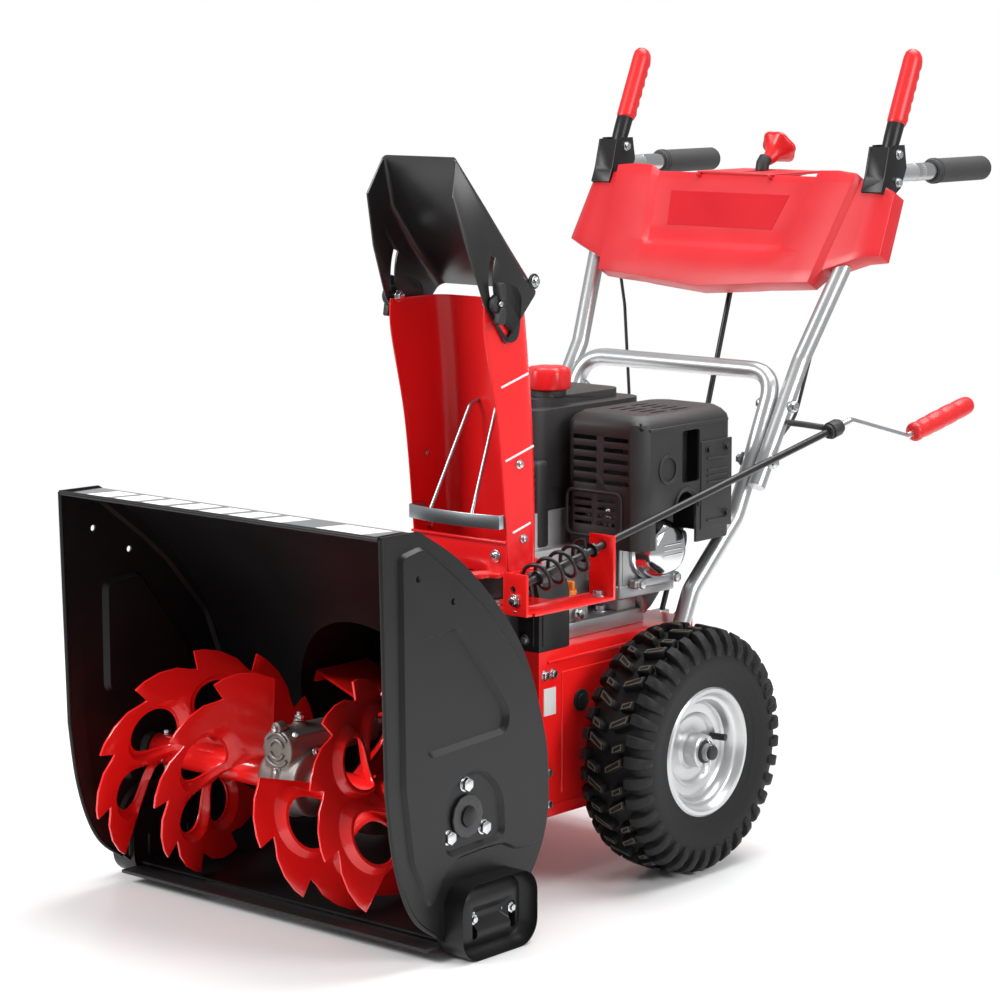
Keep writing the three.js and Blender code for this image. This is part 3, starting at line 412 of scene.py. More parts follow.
def shrink(loop, amount):
    """Offsets a closed loop inwards."""
    area = sum(a[0] * b[1] - b[0] * a[1] for a, b in zip(loop, loop[1:] + loop[:1]))
    sign = 1 if area > 0 else -1
    result = []
    for i, point in enumerate(loop):
        before, after = Vector(loop[i - 1]), Vector(loop[(i + 1) % len(loop)])
        way = (after - before).normalized()
        result.append(tuple(Vector(point) + sign * amount * Vector((-way.y, way.x))))
    return result


def pressed_sheet(name, outline, panels, holes, place, thickness, extra=()):
    """Flat sheet with pressed panels.  Each panel is (loop, slope, depth) and is lifted by depth within
    its loop over a slope; place turns (u, v, height) into the frame."""
    loops = [outline]
    lifts = []
    for loop, slope, depth in panels:
        top, half = shrink(loop, slope), shrink(loop, slope * 0.5)
        loops += [loop, half, top]
        lifts.append((half, top, depth))
    loops += holes
    points, edges = [], []
    for loop in loops:
        first = len(points)
        points += [Vector(p) for p in loop]
        edges += [(first + k, first + (k + 1) % len(loop)) for k in range(len(loop))]
    points += [Vector(p) for p in extra]
    verts, _, faces, _, _, _ = geometry.delaunay_2d_cdt(points, edges, [], 0, 1e-6)

    def height(p):
        total = 0.0
        for half, top, depth in lifts:
            near = lambda loop: min((Vector(q) - p).length for q in loop) < 0.05
            if inside(p, top) or near(top):
                total += depth
            elif near(half):
                total += depth * 0.5
        return total

    centre = lambda face: sum((verts[k] for k in face), Vector((0, 0))) / len(face)
    kept = [face for face in faces if inside(centre(face), outline) and not any(inside(centre(face), hole)
                                                                                for hole in holes)]
    piece = mesh_piece(name, [place(v.x, v.y, height(v)) for v in verts], kept)
    edit(bpy.ops.mesh.delete_loose, outward)
    apply_modifier(piece, "SOLIDIFY", thickness=thickness * MM, offset=0)
    return piece


def circle_loop(u, v, radius, steps=28):
    return [(u + radius * math.cos(2 * math.pi * k / steps), v + radius * math.sin(2 * math.pi * k / steps))
            for k in range(steps)]


plate_outline = [tuple(p) for p in smooth_line(PLATE_FRONT[::-1],
                                               5)][::-1] + [tuple(p) for p in housing_line(0)]
FIELD = [(-588, 503), (-549, 511), (-509, 481), (-471, 452), (-429, 415), (-363, 338), (-332, 259), (-326, 209),
         (-327, 165),
         (-340, 112), (-383, 112), (-406, 124), (-439, 125), (-490, 122), (-513, 108), (-527, 82), (-540, 70),
         (-571, 131), (-585, 226)]
D_PANEL = [(-546, 403), (-484, 409), (-394, 290), (-400, 262), (-546, 254)]
BOLT_PANEL = [(-515, 127), (-513, 200), (-480, 227), (-440, 226), (-408, 192), (-404, 132)]
PLATE_BOLTS = [(-472, 211), (-440, 152), (-503, 151)]
for side, hand in ((1, "left"), (-1, "right")):
    def place(u, v, height, side=side):
        return at(side * (HALF_WIDTH - 1.6 + height), u, v)

    panels = [(soft_loop(FIELD, 9, 3), 4, 5.0), (soft_loop(D_PANEL, 15), 6, -6.5),
              (soft_loop(BOLT_PANEL, 18), 6, -5.5)]
    slit = [(-514, 30), (-510.5, 30), (-510.5, 66), (-514, 66)]
    holes = [circle_loop(AUGER_Y, AUGER_Z, 19.4), circle_loop(-559, 473, 4.2, 12),
             circle_loop(-498, 438, 4.2, 12), slit]
    plate = pressed_sheet(f"side_plate_{hand}_sheet", plate_outline, panels, holes, place, SHEET)
    done(plate, black_coat, "chassis", "black_coat", f"side_plate_{hand}", angle=30)


def bent_line(corners, bend):
    """Centre line through corner points, its corners rounded."""
    spots = [Vector(corner) for corner in corners]
    line = [spots[0]]
    for before, here, after in zip(spots, spots[1:], spots[2:]):
        inward, onward = (before - here).normalized(), (after - here).normalized()
        half = inward.angle(onward) / 2
        back = min(bend / math.tan(half), 0.45 * (here - before).length, 0.45 * (after - here).length)
        start, end = here + inward * back, here + onward * back
        steps = max(3, round((math.pi - 2 * half) / 0.12))
        for t in (k / steps for k in range(steps + 1)):
            line.append((1 - t) ** 2 * start + 2 * t * (1 - t) * here + t * t * end)
    return line + [spots[-1]]


def tube(name, line, radius, sides=6):
    """A round tube along a line of points."""
    curve = bpy.data.curves.new(name, "CURVE")
    curve.dimensions = "3D"
    curve.bevel_depth = radius * MM
    curve.bevel_resolution = sides
    curve.use_fill_caps = True
    spline = curve.splines.new("POLY")
    spline.points.add(len(line) - 1)
    for point, spot in zip(spline.points, line):
        point.co = (*at(*spot), 1)
    piece = bpy.data.objects.new(name, curve)
    scene.collection.objects.link(piece)
    activate(piece)
    bpy.ops.object.convert(target="MESH")
    edit(outward)
    return bpy.context.object


for side, hand in ((1, "left"), (-1, "right")):
    hem = [(side * (HALF_WIDTH - 1.5), y, z) for y,
           z in [(-616, 527)] + [tuple(p) for p in smooth_line(PLATE_FRONT[::-1], 5)]]
    done(tube(f"plate_hem_{hand}", hem, 3.0, 4), black_coat, "chassis", "black_coat")
lip = tube("top_band_lip", [(-276, -616, 526), (276, -616, 526)], 3.2, 4)
done(lip, black_coat, "chassis", "black_coat")

# ---------------------------------------------------------------------------
# Zinc plated bolts, nuts and washers: hexagons with a turned chamfer, bright
# and slightly mottled from the passivation.
zinc = coating("zinc_plate", (0.62, 0.64, 0.66), 0.26, metallic=1.0, grain=350, bump=0.03, spread=0.1,
               tint=0.12)


def hex_bolt(spot, way, across=13.0, tall=6.0, washer=0.0, stud=0.0):
    """One hexagon head at a millimetre spot, pointing along way, with its washer and stud end."""
    way = Vector(way).normalized()
    turn = way.to_track_quat("Z", "Y").to_matrix().to_4x4()
    seat = Matrix.Translation(at(*spot)) @ turn
    bpy.ops.object.select_all(action="DESELECT")
    bpy.ops.mesh.primitive_cylinder_add(vertices=6, radius=across * MM / 1.732, depth=tall * MM,
                                        location=(0, 0, (tall / 2 + (1.6 if washer else 0)) * MM))
    head = bpy.context.object
    bpy.ops.object.transform_apply(location=True, rotation=True, scale=True)
    rounded(head, 0.9, 2, 50)
    parts = [head]
    for radius, low, high in ((washer, 0, 1.6), (stud, 0, tall + 5)):
        if radius:
            bpy.ops.object.select_all(action="DESELECT")
            bpy.ops.mesh.primitive_cylinder_add(vertices=24, radius=radius * MM, depth=(high - low) * MM,
                                                location=(0, 0, (low + high) / 2 * MM))
            ring = bpy.context.object
            bpy.ops.object.transform_apply(location=True, rotation=True, scale=True)
            rounded(ring, 0.5, 2, 50)
            parts.append(ring)
    bolt = merge(parts, "bolt")
    bolt.data.transform(seat)
    return bolt


def bolt_set(name, body, bolts, finish_with=None, slot="bright_steel"):
    """Several fasteners of one body, as one piece."""
    piece = merge(bolts, name) if len(bolts) > 1 else bolts[0]
    piece.name = name
    return done(piece, finish_with or zinc, body, slot, angle=30)


for side, hand in ((1, "left"), (-1, "right")):
    heads = [hex_bolt((side * (HALF_WIDTH - 2.0), y, z), (side, 0, 0), 15, 6.5, 9.5) for y, z in PLATE_BOLTS]
    bolt_set(f"plate_bolts_{hand}", "chassis", heads)


def eased(node, width, dissolve=1.0, segments=2, angle=30):
    """A merged copy of a drawn solid with its edges eased."""
    source = nodes[node]
    piece = source.copy()
    piece.data = source.data.copy()
    piece.parent = None
    for key in list(piece.keys()):
        del piece[key]
    piece.name = f"{node}_made"
    scene.collection.objects.link(piece)
    activate(piece)
    edit(lambda: bpy.ops.mesh.remove_doubles(threshold=2e-6),
         lambda: bpy.ops.mesh.dissolve_limited(angle_limit=math.radians(dissolve)),
         lambda: bpy.ops.mesh.normals_make_consistent(inside=False))
    if width:
        rounded(piece, width, segments, angle)
    return piece


def coat_nodes(material, *names):
    """Gives carried-over solids their surface."""
    for name in names:
        solid = nodes[name]
        solid.data.materials.clear()
        solid.data.materials.append(material)
        for slot in solid.material_slots:
            slot.material = material


# ---------------------------------------------------------------------------
# Scraper bar under the trough: a flat steel strip with eased edges, painted
# satin black like the sheet it is bolted to.
scraper = block("scraper_strip", (-270, -534, 13), (270, -478, 17.8), 1.2)
scraper_black = coating("scraper_black", (0.02, 0.02, 0.021), 0.4, metallic=0.3, grain=220, bump=0.08, tint=0.1)
done(scraper, scraper_black, "chassis", "bright_steel", "scraper_bar")

# ---------------------------------------------------------------------------
# Auger bearings: dark cast flanges outside each plate with a turned boss round
# the shaft; the worm wheel and the large belt pulley share their finish.
cast_iron = coating("dark_casting", (0.06, 0.06, 0.062), 0.5, metallic=0.6, grain=500, bump=0.25)
for hand in ("left", "right"):
    done(eased(f"auger_bearing_{hand}", 0.8), cast_iron, "chassis", "cast_iron", f"auger_bearing_{hand}")
coat_nodes(cast_iron, "worm_wheel", "impeller_pulley")

# ---------------------------------------------------------------------------
# Skid shoes: pressed steel cups, coated black, with a rolled wall round a sunk
# face, two height slots, and a flanged nut on each carriage bolt.
SHOE_X = HALF_WIDTH + 1.0
for side, hand in ((1, "left"), (-1, "right")):
    def span(low, high, side=side):
        return (side * (SHOE_X + low), side * (SHOE_X + high)) if side > 0 else (-SHOE_X - high, -SHOE_X - low)

    x0, x1 = span(0, 17)
    shoe = block(f"skid_cup_{hand}", (x0, -512, 0), (x1, -375, 95))
    activate(shoe)
    edit()
    for edge in shoe.data.edges:
        low, high = (shoe.data.vertices[k].co for k in edge.vertices)
        edge.select = abs(low.x - high.x) > 0.01
    for face in shoe.data.polygons:
        face.select = False
    bpy.ops.object.mode_set(mode="EDIT")
    bpy.ops.mesh.select_mode(type="EDGE")
    bpy.ops.mesh.bevel(offset=31 * MM, segments=8, affect="EDGES")
    bpy.ops.mesh.select_mode(type="FACE")
    bpy.ops.mesh.select_all(action="DESELECT")
    bpy.ops.object.mode_set(mode="OBJECT")
    outer_x = (at(x1, 0, 0) if side > 0 else at(x0, 0, 0)).x
    for face in shoe.data.polygons:
        face.select = abs(face.center.x - outer_x) < 1e-5 and abs(face.normal.x) > 0.9
    bpy.ops.object.mode_set(mode="EDIT")
    bpy.ops.mesh.inset(thickness=9 * MM)
    bpy.ops.transform.translate(value=(-side * 8 * MM, 0, 0))
    bpy.ops.mesh.inset(thickness=3.5 * MM)
    bpy.ops.transform.translate(value=(-side * 3 * MM, 0, 0))
    bpy.ops.mesh.select_mode(type="VERT")
    bpy.ops.object.mode_set(mode="OBJECT")
    rounded(shoe, 2.2, 3, 30)
    for y in (-476, -406):
        a0, a1 = span(-6, 30)
        slot_cut = block("slot_cut", (a0, y - 4.5, 22), (a1, y + 4.5, 56), 4.4, 5)
        carve(shoe, slot_cut)
    done(shoe, black_coat, f"shoe_{hand}", "black_coat", f"skid_shoe_{hand}")
    nuts = [hex_bolt((side * (SHOE_X + 6.2), y, 47), (side, 0, 0), 13, 7, 11, 4) for y in (-476, -406)]
    bolt_set(f"shoe_nuts_{hand}", "chassis", nuts)

# ---------------------------------------------------------------------------
# Augers: ribbon flights pressed from sheet, with hooked teeth and big lipped
# windows, welded to a sleeve and coated glossy red.  A shear bolt pins each.
red_coat = coating("red_coat", (0.86, 0.012, 0.011), 0.2, grain=240, bump=0.04, spread=0.05, tint=0.08,
                   Coat_Weight=0.35, Coat_Roughness=0.08)
PITCH = 230.0
TIP = 147.0
WINDOW_R = 72.0
TOOTH_STEP = math.radians(35)


def flight_blade(name, side, start_x, first, last):
    """One ribbon flight, drawn flat as arc length against radius and wound onto its helix."""
    def wind(u, v, height):
        turn = u / WINDOW_R
        x = start_x - side * PITCH * turn / (2 * math.pi) + side * height
        return at(x, AUGER_Y - v * math.cos(turn), AUGER_Z + v * math.sin(turn))

    rim = []
    teeth = round((last - first) / TOOTH_STEP)
    step = (last - first) / teeth
    for k in range(teeth):
        turn = first + k * step
        shape = ((0.0, TIP), (0.16, TIP - 1), (0.42, TIP - 5.5), (0.70, TIP - 13), (0.90, TIP - 22),
                 (1.02, TIP - 25))
        rim += [((turn + part * step) * WINDOW_R, radius) for part, radius in shape]
    hub = [((last + (first - last) * k / 40) * WINDOW_R, 18.0) for k in range(41)]
    outline = rim + hub
    windows, lips = [], []
    turn = first + 0.5
    while turn < last - 0.3:
        centre = turn * WINDOW_R
        windows.append([(centre + 30 * (p - centre) / 10, 68 + 35 * q / 10) for p,
                        q in circle_loop(centre, 0, 10, 32)])
        lips.append(([(centre + 42 * (p - centre) / 10, 68 + 46 * q / 10) for p,
                      q in circle_loop(centre, 0, 10, 40)], 8, 11.0))
        turn += 1.2
    extra = []
    for i in range(int((last - first) * WINDOW_R / 6)):
        for v in (30, 42, 56, 70, 84, 98, 110, 118, 124):
            u = first * WINDOW_R + 4 + 6 * i
            if all(math.hypot((u - loop[0][0] + 30) / 44, (v - 68) / 48) > 1 for loop in windows):
                extra.append((u, v))
    return pressed_sheet(name, outline, lips, windows, wind, 3.0, extra)


for hand, side, flights in (("left", 1, [(167, -0.9, 3.15), (57, -2.1, 0.25)]),
                            ("right", -1, [(-218, -1.1, 3.3), (-107, -2.6, 1.6)])):
    low, high = (48, 258) if side > 0 else (-258, -48)
    parts = [flight_blade("flight", side, *values) for values in flights]
    sleeve = rod("sleeve", "x", 21, low, high, (0, AUGER_Y, AUGER_Z), 48, 1.0)
    carve(sleeve, rod("bore", "x", 12.9, low - 5, high + 5, (0, AUGER_Y, AUGER_Z), 32))
    parts.append(sleeve)
    for part in parts[:-1]:
        rounded(part, 0.7, 2, 55)
    done(merge(parts, f"auger_flights_{hand}"), red_coat, "auger", "red_coat", f"auger_{hand}", angle=35)
    shear = [hex_bolt((side * 244, AUGER_Y, AUGER_Z + 20.5), (0, 0, 1), 10, 5, 7),
             hex_bolt((side * 244, AUGER_Y, AUGER_Z - 20.5), (0, 0, -1), 10, 6, 7)]
    bolt_set(f"shear_bolts_{hand}", "auger", shear)
shaft_black = coating("oiled_shaft", (0.02, 0.02, 0.021), 0.32, metallic=0.7, grain=300, bump=0.05)
shaft = rod("auger_shaft_made", "x", 12.5, -287, 287, (0, AUGER_Y, AUGER_Z), 40, 1.5)
done(shaft, shaft_black, "auger", "bright_steel", "auger_shaft")

# ---------------------------------------------------------------------------
# Auger gear case: two cast halves bolted on a flange, worm above and wheel below,
# with ribs on the front boss and a breather stud on top.
cast_alloy = coating("sand_cast_alloy", (0.21, 0.195, 0.18), 0.46, metallic=0.75, grain=420, bump=0.35,
                     spread=0.1, tint=0.2)
case = rod("gear_case", "x", 44, -33, 33, (0, AUGER_Y, AUGER_Z), 64)
for shape in (rod("lobe", "y", 26, -512, -418, (0, 0, DRUM_Z), 48),
              rod("tail", "y", 19, -430, -342, (0, 0, DRUM_Z), 48),
              rod("flange", "x", 49, -4, 4, (0, AUGER_Y, AUGER_Z), 64),
              rod("neck", "z", 8, 236, 248, (0, AUGER_Y, 0), 24),
              rod("arm_left", "x", 24, -45, 45, (0, AUGER_Y, AUGER_Z), 48),
              block("saddle", (-24, -500, 180), (24, -420, 236))):
    carve(case, shape, "UNION")
apply_modifier(case, "REMESH", mode="VOXEL", voxel_size=2.4 * MM)
apply_modifier(case, "SMOOTH", factor=0.8, iterations=6)
ribs = []
for radius, start, end in ((21, 35, 145), (21, 215, 325), (12, 20, 160), (12, 200, 340)):
    arc = [(radius * math.cos(math.radians(a)), -513, DRUM_Z + radius * math.sin(math.radians(a)))
           for a in range(start, end + 1, 10)]
    ribs.append(tube("boss_rib", arc, 2.6, 4))
for x, y, z in ((0, -514, 244), (0, -514, 190)):
    ribs.append(rod("boss_ear", "y", 8, y, y + 14, (x, 0, z), 24, 1.5))
case = merge([case] + ribs, "gear_case_cast")
done(case, cast_alloy, "chassis", "cast_alloy", "auger_gear_case", angle=50)
screws = [hex_bolt((0, -514, 244), (0, -1, 0), 8, 4), hex_bolt((0, -514, 190), (0, -1, 0), 8, 4),
          hex_bolt((0, AUGER_Y, 248), (0, 0, 1), 12, 6, 8, 3.5),
          hex_bolt((22, -500, 236), (0.4, -0.7, 0.6), 8, 4),
          hex_bolt((36, AUGER_Y - 8, 214), (1, 0, 0.3), 9, 4, 6)]
bolt_set("gear_case_screws", "chassis", screws)

# ---------------------------------------------------------------------------
# Impeller drum, impeller and their shaft: rolled drum with a welded discharge
# neck, and a four-bladed fan with turned tips.
done(eased("impeller_housing", 0.0, 0.5), black_coat, "chassis", "black_coat", "impeller_housing", angle=35)
done(eased("impeller", 0.8), red_coat, "impeller_rotor", "red_coat", "impeller")
coat_nodes(zinc, "impeller_shaft")

# ---------------------------------------------------------------------------
# Frame box: folded red sheet steel that carries the engine and the drive, with
# a shallow swage along each side, cap screws, an axle bush and a closing plate.
box = eased("frame_case", 1.6, 0.5, 3)
done(box, red_coat, "chassis", "red_coat", "frame_case", angle=35)
done(eased("bottom_cover", 0.8), red_coat, "chassis", "red_coat", "bottom_cover")
plate_white = coating("blank_plate", (0.7, 0.7, 0.69), 0.5, grain=260, bump=0.02)
grommet_black = coating("moulded_rubber", (0.012, 0.012, 0.012), 0.55, grain=700, bump=0.15)
for side, hand in ((1, "left"), (-1, "right")):
    x = side * 160.0
    swage = [tube("swage", bent_line([(x, -178, 296), (x, 118, 296)], 4), 2.4, 3),
             tube("swage", bent_line([(x, -178, 104), (x, 118, 104)], 4), 2.4, 3)]
    done(merge(swage, f"frame_swage_{hand}"), red_coat, "chassis", "red_coat")
    panel = block("panel", (x - 1, -150, 118), (x + side * 1.6, 112, 280), 1.4, 3)
    carve(panel, rod("bush_hole", "x", 20, -200, 200, (0, 0, 165), 48))
    done(panel, red_coat, "chassis", "red_coat")
    panel.name = f"frame_panel_{hand}"
    label = block("label", (x - 1, -186, 226), (x + side * 1.2, -162, 262), 0.4)
    done(label, plate_white, "chassis", "red_coat")
    label.name = f"frame_label_blank_{hand}"
    grommet = [rod("grommet", "x", 15, min(x, x + side * 4), max(x, x + side * 4), (0, -112, 236), 32, 1.6),
               rod("grommet", "x", 9, min(x, x + side * 6.5), max(x, x + side * 6.5), (0, -112, 236), 32, 1.5)]
    done(merge(grommet, f"frame_grommet_{hand}"), grommet_black, "chassis", "tyre_rubber")
    bush = rod("axle_bush", "x", 24, min(x, x + side * 9), max(x, x + side * 9), (0, 0, 165), 40, 1.5)
    carve(bush, rod("bush_bore", "x", 13.2, -200, 200, (0, 0, 165), 32))
    done(bush, cast_iron, "chassis", "cast_iron")
    bush.name = f"axle_bush_{hand}"
    screws = [hex_bolt((x, y, z), (side, 0, 0), 10, 4, 7) for y, z in
              ((-184, 280), (-168, 280), (-178, 150), (-178, 108), (104, 280), (104, 118))]
    bolt_set(f"frame_screws_{hand}", "chassis", screws)

# ---------------------------------------------------------------------------
# Belt cover: one black moulding over both belt pulleys, with softened edges,
# held to the frame by a screw at each foot.
black_plastic = coating("textured_black", (0.014, 0.014, 0.0145), 0.5, grain=1500, bump=0.3, spread=0.07,
                        tint=0.15)
cover = eased("belt_cover", 2.2, 0.5, 3)
done(cover, black_plastic, "chassis", "black_plastic", "belt_cover")
cover_ribs = [block("cover_rib", (x - 1.5, -196.5, 318), (x + 1.5, -193.8, 398), 0.8)
              for x in (-120, -80, -40, 150)]
cover_ribs += [block("cover_side", (159, -188, 318), (161.8, -140, 372), 1.2)]
done(merge(cover_ribs, "belt_cover_ribs"), black_plastic, "chassis", "black_plastic")
bolt_set("belt_cover_screws", "chassis", [hex_bolt((x, -194.5, 326), (0, -1, 0), 10, 4, 8)
                                          for x in (-146, 136)])
drive_steel = coating("machined_steel", (0.4, 0.4, 0.41), 0.33, metallic=1.0, grain=260, bump=0.08)
coat_nodes(drive_steel, "drive_disc", "crankshaft")
belt_rubber = coating("belt_rubber", (0.018, 0.018, 0.018), 0.7, grain=900, bump=0.3)
coat_nodes(belt_rubber, "auger_belt", "friction_wheel")

# ---------------------------------------------------------------------------
# Wheels: tubeless snow tyres with split chevron lugs on pressed steel rims,
# painted silver, pinned to the axle.
WHEEL_X = 242.0
WHEEL_Z = 165.0
tyre_rubber = coating("tyre_rubber", (0.007, 0.007, 0.008), 0.62, grain=500, bump=0.3, spread=0.08, tint=0.25,
                      Specular_IOR_Level=0.28)
rim_silver = coating("rim_silver", (0.56, 0.565, 0.57), 0.32, metallic=0.75, grain=260, bump=0.04, spread=0.07)
# painted highlight: a pale brownish colour for the rings drawn on every lug crown, in place of the light on the
# crown edges
crown_highlight_paint = coating("crown_highlight_paint", (0.10, 0.082, 0.052), 0.7, grain=400, bump=0.1)


def spun(name, profile, centre_x, side, steps=96):
    """A closed profile of (radius, offset) spun about the wheel axle."""
    points = [at(centre_x + side * offset, 0, WHEEL_Z + radius) for radius, offset in profile]
    mesh = bpy.data.meshes.new(name)
    mesh.from_pydata([tuple(p) for p in points], [(k, (k + 1) % len(points)) for k in range(len(points))], [])
    piece = bpy.data.objects.new(name, mesh)
    scene.collection.objects.link(piece)
    activate(piece)
    edit(lambda: bpy.ops.mesh.spin(steps=steps, angle=2 * math.pi, use_auto_merge=True,
                                   center=at(centre_x, 0, WHEEL_Z), axis=(1, 0, 0)),
         outward)
    return piece


TREAD_ROWS = 36
V_ARM = [(2, 151, 165, 0.0, 2.0), (13, 151, 164.2, 1.2, 2.4), (23, 150, 163.4, 3.4, 2.7),
         (28, 149, 163, 4.2, 2.6)]
CROSS_BAR = [(11, 151, 164.5, -0.6, 2.0), (20, 150, 163.7, 0.4, 2.4), (28, 149, 163, 1.4, 2.3)]
SHOULDER = [(31, 148, 163, 0.0, 3.1), (40, 146, 160.5, -0.4, 3.3), (47.5, 142, 154, -0.6, 3.2),
            (51.8, 136, 143, -0.6, 2.8),
            (52, 128, 129, -0.6, 2.3)]


def on_tread(centre_x, across, radius, degrees):
    turn = math.radians(degrees)
    return at(centre_x + across, radius * math.sin(turn), WHEEL_Z + radius * math.cos(turn))


def lug(centre_x, way, phase, stations):
    """One tread block: a tapered bar through stations of across, foot, crown, lean and half width."""
    loops = []
    for across, low, high, lean, half in stations:
        flare = 1.6 if across > 50 else 0.0
        for radius, hand, out in ((low, -1, -2.0), (low, 1, -2.0), (high, 0.8, flare), (high, -0.8, flare)):
            loops.append(on_tread(centre_x, way * (across + out), radius, phase + lean + hand * half))
    last = len(loops) - 4
    faces = [(3, 2, 1, 0), tuple(range(last, last + 4))]
    faces += [(k + j, k + (j + 1) % 4, k + 4 + (j + 1) % 4, k + 4 + j) for k in range(0, last, 4)
              for j in range(4)]
    return mesh_piece("lug", loops, faces)


def mix(low, high, part):
    return low + (high - low) * part


def crown_highlight_ring(centre_x, way, phase, stations):
    """Painted highlight: a thin lighter ring round the crown of one block, standing in for the light its crown
    edges catch.
    """
    first, last = stations[0], stations[-1]
    ring = []
    for inset, part in ((2.0, 0.62), (3.4, 0.40)):
        for end, hand in ((first, -1), (first, 1), (last, 1), (last, -1)):
            across = end[0] + (inset if end is first else -inset)
            ring.append(on_tread(centre_x, way * across, mix(first[2], last[2],
                                                             (across - first[0]) / (last[0] - first[0])) + 0.25,
                                 phase + end[3] + hand * end[4] * part))
    return mesh_piece("crown_highlight_ring", ring, [(k, (k + 1) % 4, 4 + (k + 1) % 4, 4 + k) for k in range(4)])


for side, hand in ((1, "left"), (-1, "right")):
    centre_x = side * WHEEL_X
    carcass = [(80, 40), (88, 44.5), (96, 44.5), (100, 46.5), (104, 46.8), (112, 50), (124, 51.5), (134, 50),
               (143, 46.5), (148, 41),
               (151, 30), (153, 14), (153.5, 0)]
    carcass += [(radius, -offset) for radius, offset in carcass[-2::-1]]
    carcass += [(79, -36), (120, -42), (144, -34), (148, 0), (144, 34), (120, 42), (79, 36)]
    tyre, lines = [spun("carcass", carcass, centre_x, side, 120)], []
    for way in (-1, 1):
        for k in range(TREAD_ROWS):
            phase = 360 / TREAD_ROWS * (k + (1.0 if way * side > 0 else 0.0))
            stations = (V_ARM, CROSS_BAR)[k % 2]
            tyre.append(lug(centre_x, way, phase, stations))
            tyre.append(lug(centre_x, way, phase + 5, SHOULDER))
            lines.append(crown_highlight_ring(centre_x, way, phase, stations))
    merged = merge(tyre, f"snow_tyre_{hand}")
    edit(outward)
    rounded(merged, 0.9, 1, 45)
    done(merged, tyre_rubber, "wheels", "tyre_rubber", f"tyre_{hand}", angle=38)
    # the painted highlight rings on the lug crowns, thickened a little and given their pale colour
    marks = merge(lines, f"tread_crown_highlights_{hand}")
    apply_modifier(marks, "SOLIDIFY", thickness=0.5 * MM, offset=0)
    done(marks, crown_highlight_paint, "wheels", "tyre_rubber")
    ring_line = [(side * (WHEEL_X + 45.6), 100 * math.sin(a), WHEEL_Z + 100 * math.cos(a))
                 for a in (math.radians(3 * k) for k in range(121))]
    done(tube(f"tyre_ring_{hand}", ring_line, 1.0, 2), tyre_rubber, "wheels", "tyre_rubber")
    rim_profile = [(13, 40), (20, 40), (22, 38.5), (23, 20), (27, 16), (40, 14), (46, 15.5), (50, 19.5),
                   (56, 20.5), (61, 20.5),
                   (64, 23), (66, 31), (69, 34.5), (72, 35), (74.5, 37), (76.5, 42.5), (79.5, 45.5), (84, 45.5),
                   (87, 43),
                   (86, 41.5), (79, 41), (77, 38), (76.5, 30), (74, 24), (74, -30), (77, -38), (79, -41),
                   (86, -42.5),
                   (84, -45.5), (78, -44), (72, -34), (71, -28), (71, 18), (60, 16.5), (48, 14), (40, 10.5),
                   (24, 11), (20, 9),
                   (20, -34), (13, -34)]
    rim = spun("rim", rim_profile, centre_x, side, 96)
    done(rim, rim_silver, "wheels", "silver_tube", f"rim_{hand}", angle=35)
    rim.name = f"pressed_rim_{hand}"
    x_end = side * (WHEEL_X + 43)
    cap = rod("axle_cap", "x", 10, min(x_end, x_end + side * 12), max(x_end, x_end + side * 12),
              (0, 0, WHEEL_Z), 32, 3.5)
    collar = rod("axle_collar", "x", 15.5, min(x_end, x_end - side * 5), max(x_end, x_end - side * 5),
                 (0, 0, WHEEL_Z), 32, 1.5)
    valve = tube("valve", [(side * (WHEEL_X + 16), 44, WHEEL_Z + 10),
                           (side * (WHEEL_X + 38), 47, WHEEL_Z + 10)], 4.6, 6)
    done(merge([cap, collar, valve], f"wheel_caps_{hand}"), grommet_black, "wheels", "tyre_rubber")
    pin_line = [(side * (WHEEL_X + 40), -4, WHEEL_Z - 30), (side * (WHEEL_X + 41), 3, WHEEL_Z + 18)]
    clip = bent_line([(side * (WHEEL_X + 41), 3, WHEEL_Z + 16), (side * (WHEEL_X + 52), -2, WHEEL_Z + 8),
                      (side * (WHEEL_X + 50), -6, WHEEL_Z - 26)], 8)
    done(merge([tube("pin", pin_line, 2.6, 4), tube("clip", clip, 1.3, 3)], f"wheel_pins_{hand}"), zinc,
         "wheels", "bright_steel")
done(eased("wheel_axle", 0.6), drive_steel, "wheels", "bright_steel", "wheel_axle")

# ---------------------------------------------------------------------------
# Chute: glossy red moulding, a tall channel with rounded inner corners standing
# on a turning ring, stepped on its sides and bolted at the foot.
CHUTE_X = 100.0
CHUTE_Y = -254.0
chute_red = coating("chute_red", (0.80, 0.010, 0.012), 0.24, grain=180, bump=0.05, spread=0.06, tint=0.07,
                    Coat_Weight=0.25,
                    Coat_Roughness=0.12)


def channel_loop(front, back, half_front, half_back, corner):
    """Half a channel's section from the front edge round the back, as points across the machine."""
    loop = []
    front, back = Vector(front), Vector(back)
    for k in range(9):
        t = k / 8
        spot = front.lerp(back, t * (1 - corner / max(1.0, (back - front).length)))
        half = half_front + (half_back - half_front) * t
        loop.append((CHUTE_X + half, spot.x, spot.y))
    way = (back - front).normalized()
    pivot = back - way * corner
    for k in range(1, 9):
        turn = math.pi / 2 * k / 8
        spot = pivot + way * corner * math.sin(turn)
        loop.append((CHUTE_X + half_back - corner + corner * math.cos(turn), spot.x, spot.y))
    flat = [(CHUTE_X + (half_back - corner) * (1 - k / 6), back.x, back.y) for k in range(1, 7)]
    loop += flat
    mirror = [(2 * CHUTE_X - x, y, z) for x, y, z in loop[-2::-1]]
    return loop + mirror


